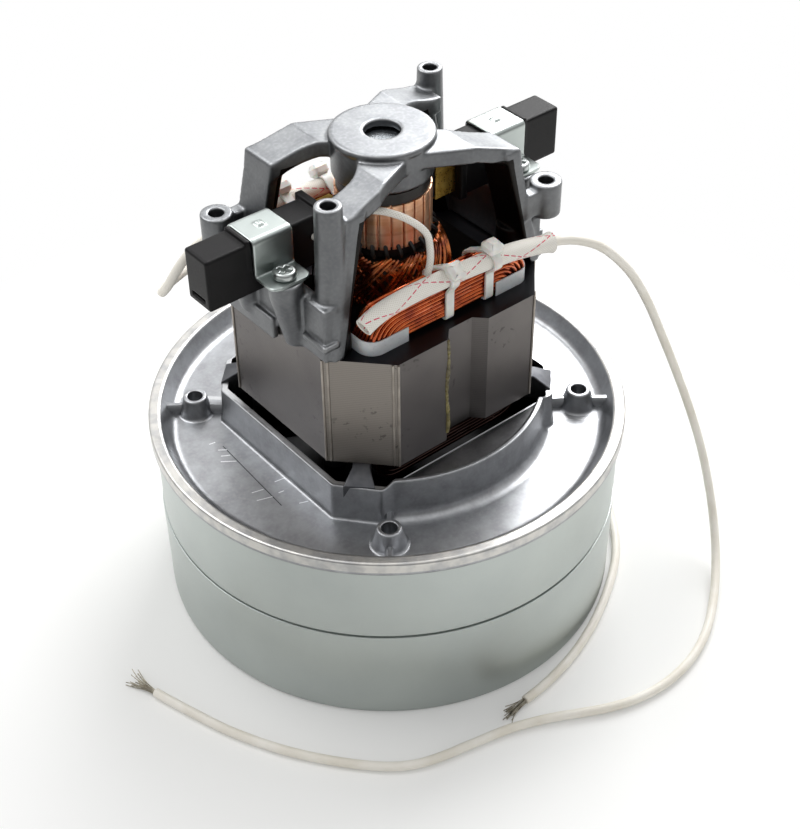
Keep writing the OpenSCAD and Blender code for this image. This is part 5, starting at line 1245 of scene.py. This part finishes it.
def drip():
    """A run of varnish down one edge of the groove, its thickness swelling and thinning on the way."""
    way = np.linspace(0, 1, 60)
    draw = np.random.default_rng(12)
    radius = np.convolve(draw.uniform(0.25, 0.95, 64), np.full(5, 0.2), "valid")
    path = np.column_stack([-7.3 + 0.3 * np.sin(9 * way), np.full(60, 0.15 - CORE_HIGH[1]),
                            CORE_TOP - 0.6 - 33 * way])
    return tube(path, np.column_stack([along(path), radius]), 10)


# the seam beads are drawn pale as a painted highlight
piece("core_seams", seams(), SEAM_HIGHLIGHT)
for place, turn in ENDS.items():
    piece("varnish_run_" + place, moved(drip(), turn), RUN_VARNISH)

# Field coils

WIRE_R = 0.6
FACE_WIRES, RIM_WIRES = 8, 7


def coil_turns(grow, depth, seed):
    """Closed turns of a coil: round-cornered loops, grown by grow, at a depth from the shaft, that lean
    outwards where they leave the core and sway a little."""
    draw = np.random.default_rng(seed)
    grow, depth = np.broadcast_arrays(np.asarray(grow, float), np.asarray(depth, float))
    high = (CORE_TOP - CORE_FOOT) / 2
    sizes = np.concatenate([grow, [4.0]])
    a, b = 18 + sizes, high + 1.3 + sizes
    corners = np.stack([np.stack([x, z], -1) for x, z in ((-a, -b), (a, -b), (a, b), (-a, b))], 1)
    corners = np.stack([corners[:, k] + (corners[:, (k + 1) % 4] - corners[:, k]) * f
                        for k in range(4) for f in (0, 0.35, 0.65)], 1)
    reach = np.zeros((len(sizes), corners.shape[1]))
    reach[:, ::3] = (2.5 + sizes)[:, None]
    loop = rounded(corners, reach, 8, closed=True)
    lean = 4 * ease((np.abs(loop[-1, :, 1]) - high + 4.8) / 6)
    wave = np.linspace(0, 2 * math.pi, loop.shape[1], endpoint=False)[None]
    count = len(grow)
    sway = 0.16 * np.sin(draw.integers(2, 5, (count, 1)) * wave + draw.uniform(0, 6, (count, 1)))
    return np.stack([loop[:-1, :, 0], -depth[:, None] - lean - sway, CORE_MID + loop[:-1, :, 1] + sway], -1)


def field_coil():
    """Enamelled turns on the face, rim and back of the coil, and the body of wire that they hide."""
    face = np.linspace(WIRE_R, 9.3, FACE_WIRES)
    rim = np.linspace(25.0, 17.4, RIM_WIRES)
    paths = np.concatenate([coil_turns(face, np.full(FACE_WIRES, 25.05), 1),
                            coil_turns(np.full(RIM_WIRES, 9.3), rim, 2),
                            coil_turns(face, np.full(FACE_WIRES, 17.45), 4)])
    wires = bunch(paths, np.array([0.0, -1.0, 0.0]), WIRE_R, 8, closed=True)
    body = coil_turns(np.array([0.3, 9.0, 9.0, 0.3]), np.array([24.7, 24.7, 17.6, 17.6]), 9)
    return wires + [skin(body.transpose(1, 0, 2), True, True)]


COIL = field_coil()
for place, turn in ENDS.items():
    piece("wound_coil_" + place, moved(COIL, turn), COPPER_WIRE,
          ["field_coil_" + place], 60)

# Sleeves, ties and jumpers

SLEEVE_R = 2.6
SLEEVE_ROUTE = [[-31, -29.4, 122.2], [-27.6, -29.2, 123.5], [-23, -29, 124.4], [-17, -29, 124.9],
                [-10, -29, 125], [0, -29.4, 125], [10, -30.2, 125], [20, -31.2, 124.6], [27, -31.8, 123.6],
                [34, -32.4, 122.4]]
JUMPER_ROUTE = [[-6, -26, 126], [-5, -26, 130], [-4.6, -25.4, 134], [-5, -24.6, 138], [-7.4, -23.4, 141.4],
                [-11, -21, 144.4], [-15, -17.6, 146], [-19, -14, 146], [-23, -11, 144.4], [-26, -9.6, 141.6],
                [-27.4, -8.4, 138.8], [-27.8, -7, 137.6], [-28, -5.2, 137.4]]


def sleeve():
    """A woven tube, cut open at one end and flared round the lead at the other."""
    path = through(SLEEVE_ROUTE)
    run = along(path)[-1]
    stations = [(5, 2.0), (0.2, 2.15), (0, 2.35), (0.15, SLEEVE_R)]
    stations += [(s, SLEEVE_R) for s in np.arange(1, run - 3, 0.6)]
    stations += [(run - 1.4, 2.8), (run, 3.1), (run - 0.1, 2.8), (run - 3, 1.9)]
    return tube(path, stations, 28)


def tie(x, lean):
    """A nylon band round the end turn and the sleeve on it, and its locking head, leaning forward."""
    route = np.array(SLEEVE_ROUTE)
    y, z = np.interp(x, route[:, 0], route[:, 1]), np.interp(x, route[:, 0], route[:, 2])
    round_r, front, back, low = 3.15, 30.15, 20.5, CORE_TOP + 0.8
    turn = np.radians(np.linspace(60, 205, 9))
    arch = np.stack([y + round_r * np.cos(turn), z + round_r * np.sin(turn)], -1)
    line = np.concatenate([[[-front, z - 4.2], [-front, low], [-back, low], [-back, z - 2.0]], arch])
    line = rounded(line, 0.9, 4, closed=True)
    way = unit(np.roll(line, -1, 0) - np.roll(line, 1, 0))
    section = box_outline(1.45, 0.42, 0.25, 3)
    points = np.stack([x + section[:, 0] + 0 * line[:, :1], line[:, :1] + way[:, 1:] * section[:, 1],
                       line[:, 1:] - way[:, :1] * section[:, 1]], -1)
    head = prism(box_outline(2.5, 2.5, 1.2), 2.6, 6.6, 1.2)
    return [skin(points, True, True)] + moved(head, lean, (x, y, z), 0)


def jumper():
    """A thin braided wire from the first tie, over the commutator, to the brush."""
    path = through(JUMPER_ROUTE)
    return tube(path, [(s, 1.0) for s in np.linspace(0, along(path)[-1], 90)], 14)


SLEEVE, TIES, JUMPER = sleeve(), tie(-1.5, math.radians(40)) + tie(13, math.radians(6)), jumper()
for place, turn in ENDS.items():
    piece("braided_sleeve_" + place, moved(SLEEVE, turn), SLEEVE_BRAID,
          ["coil_sleeve_" + place])
    piece("nylon_ties_" + place, moved(TIES, turn), NYLON, ["cable_ties_" + place])
    piece("braided_jumper_" + place, moved(JUMPER, turn), JUMPER_BRAID,
          ["brush_jumper_" + place])
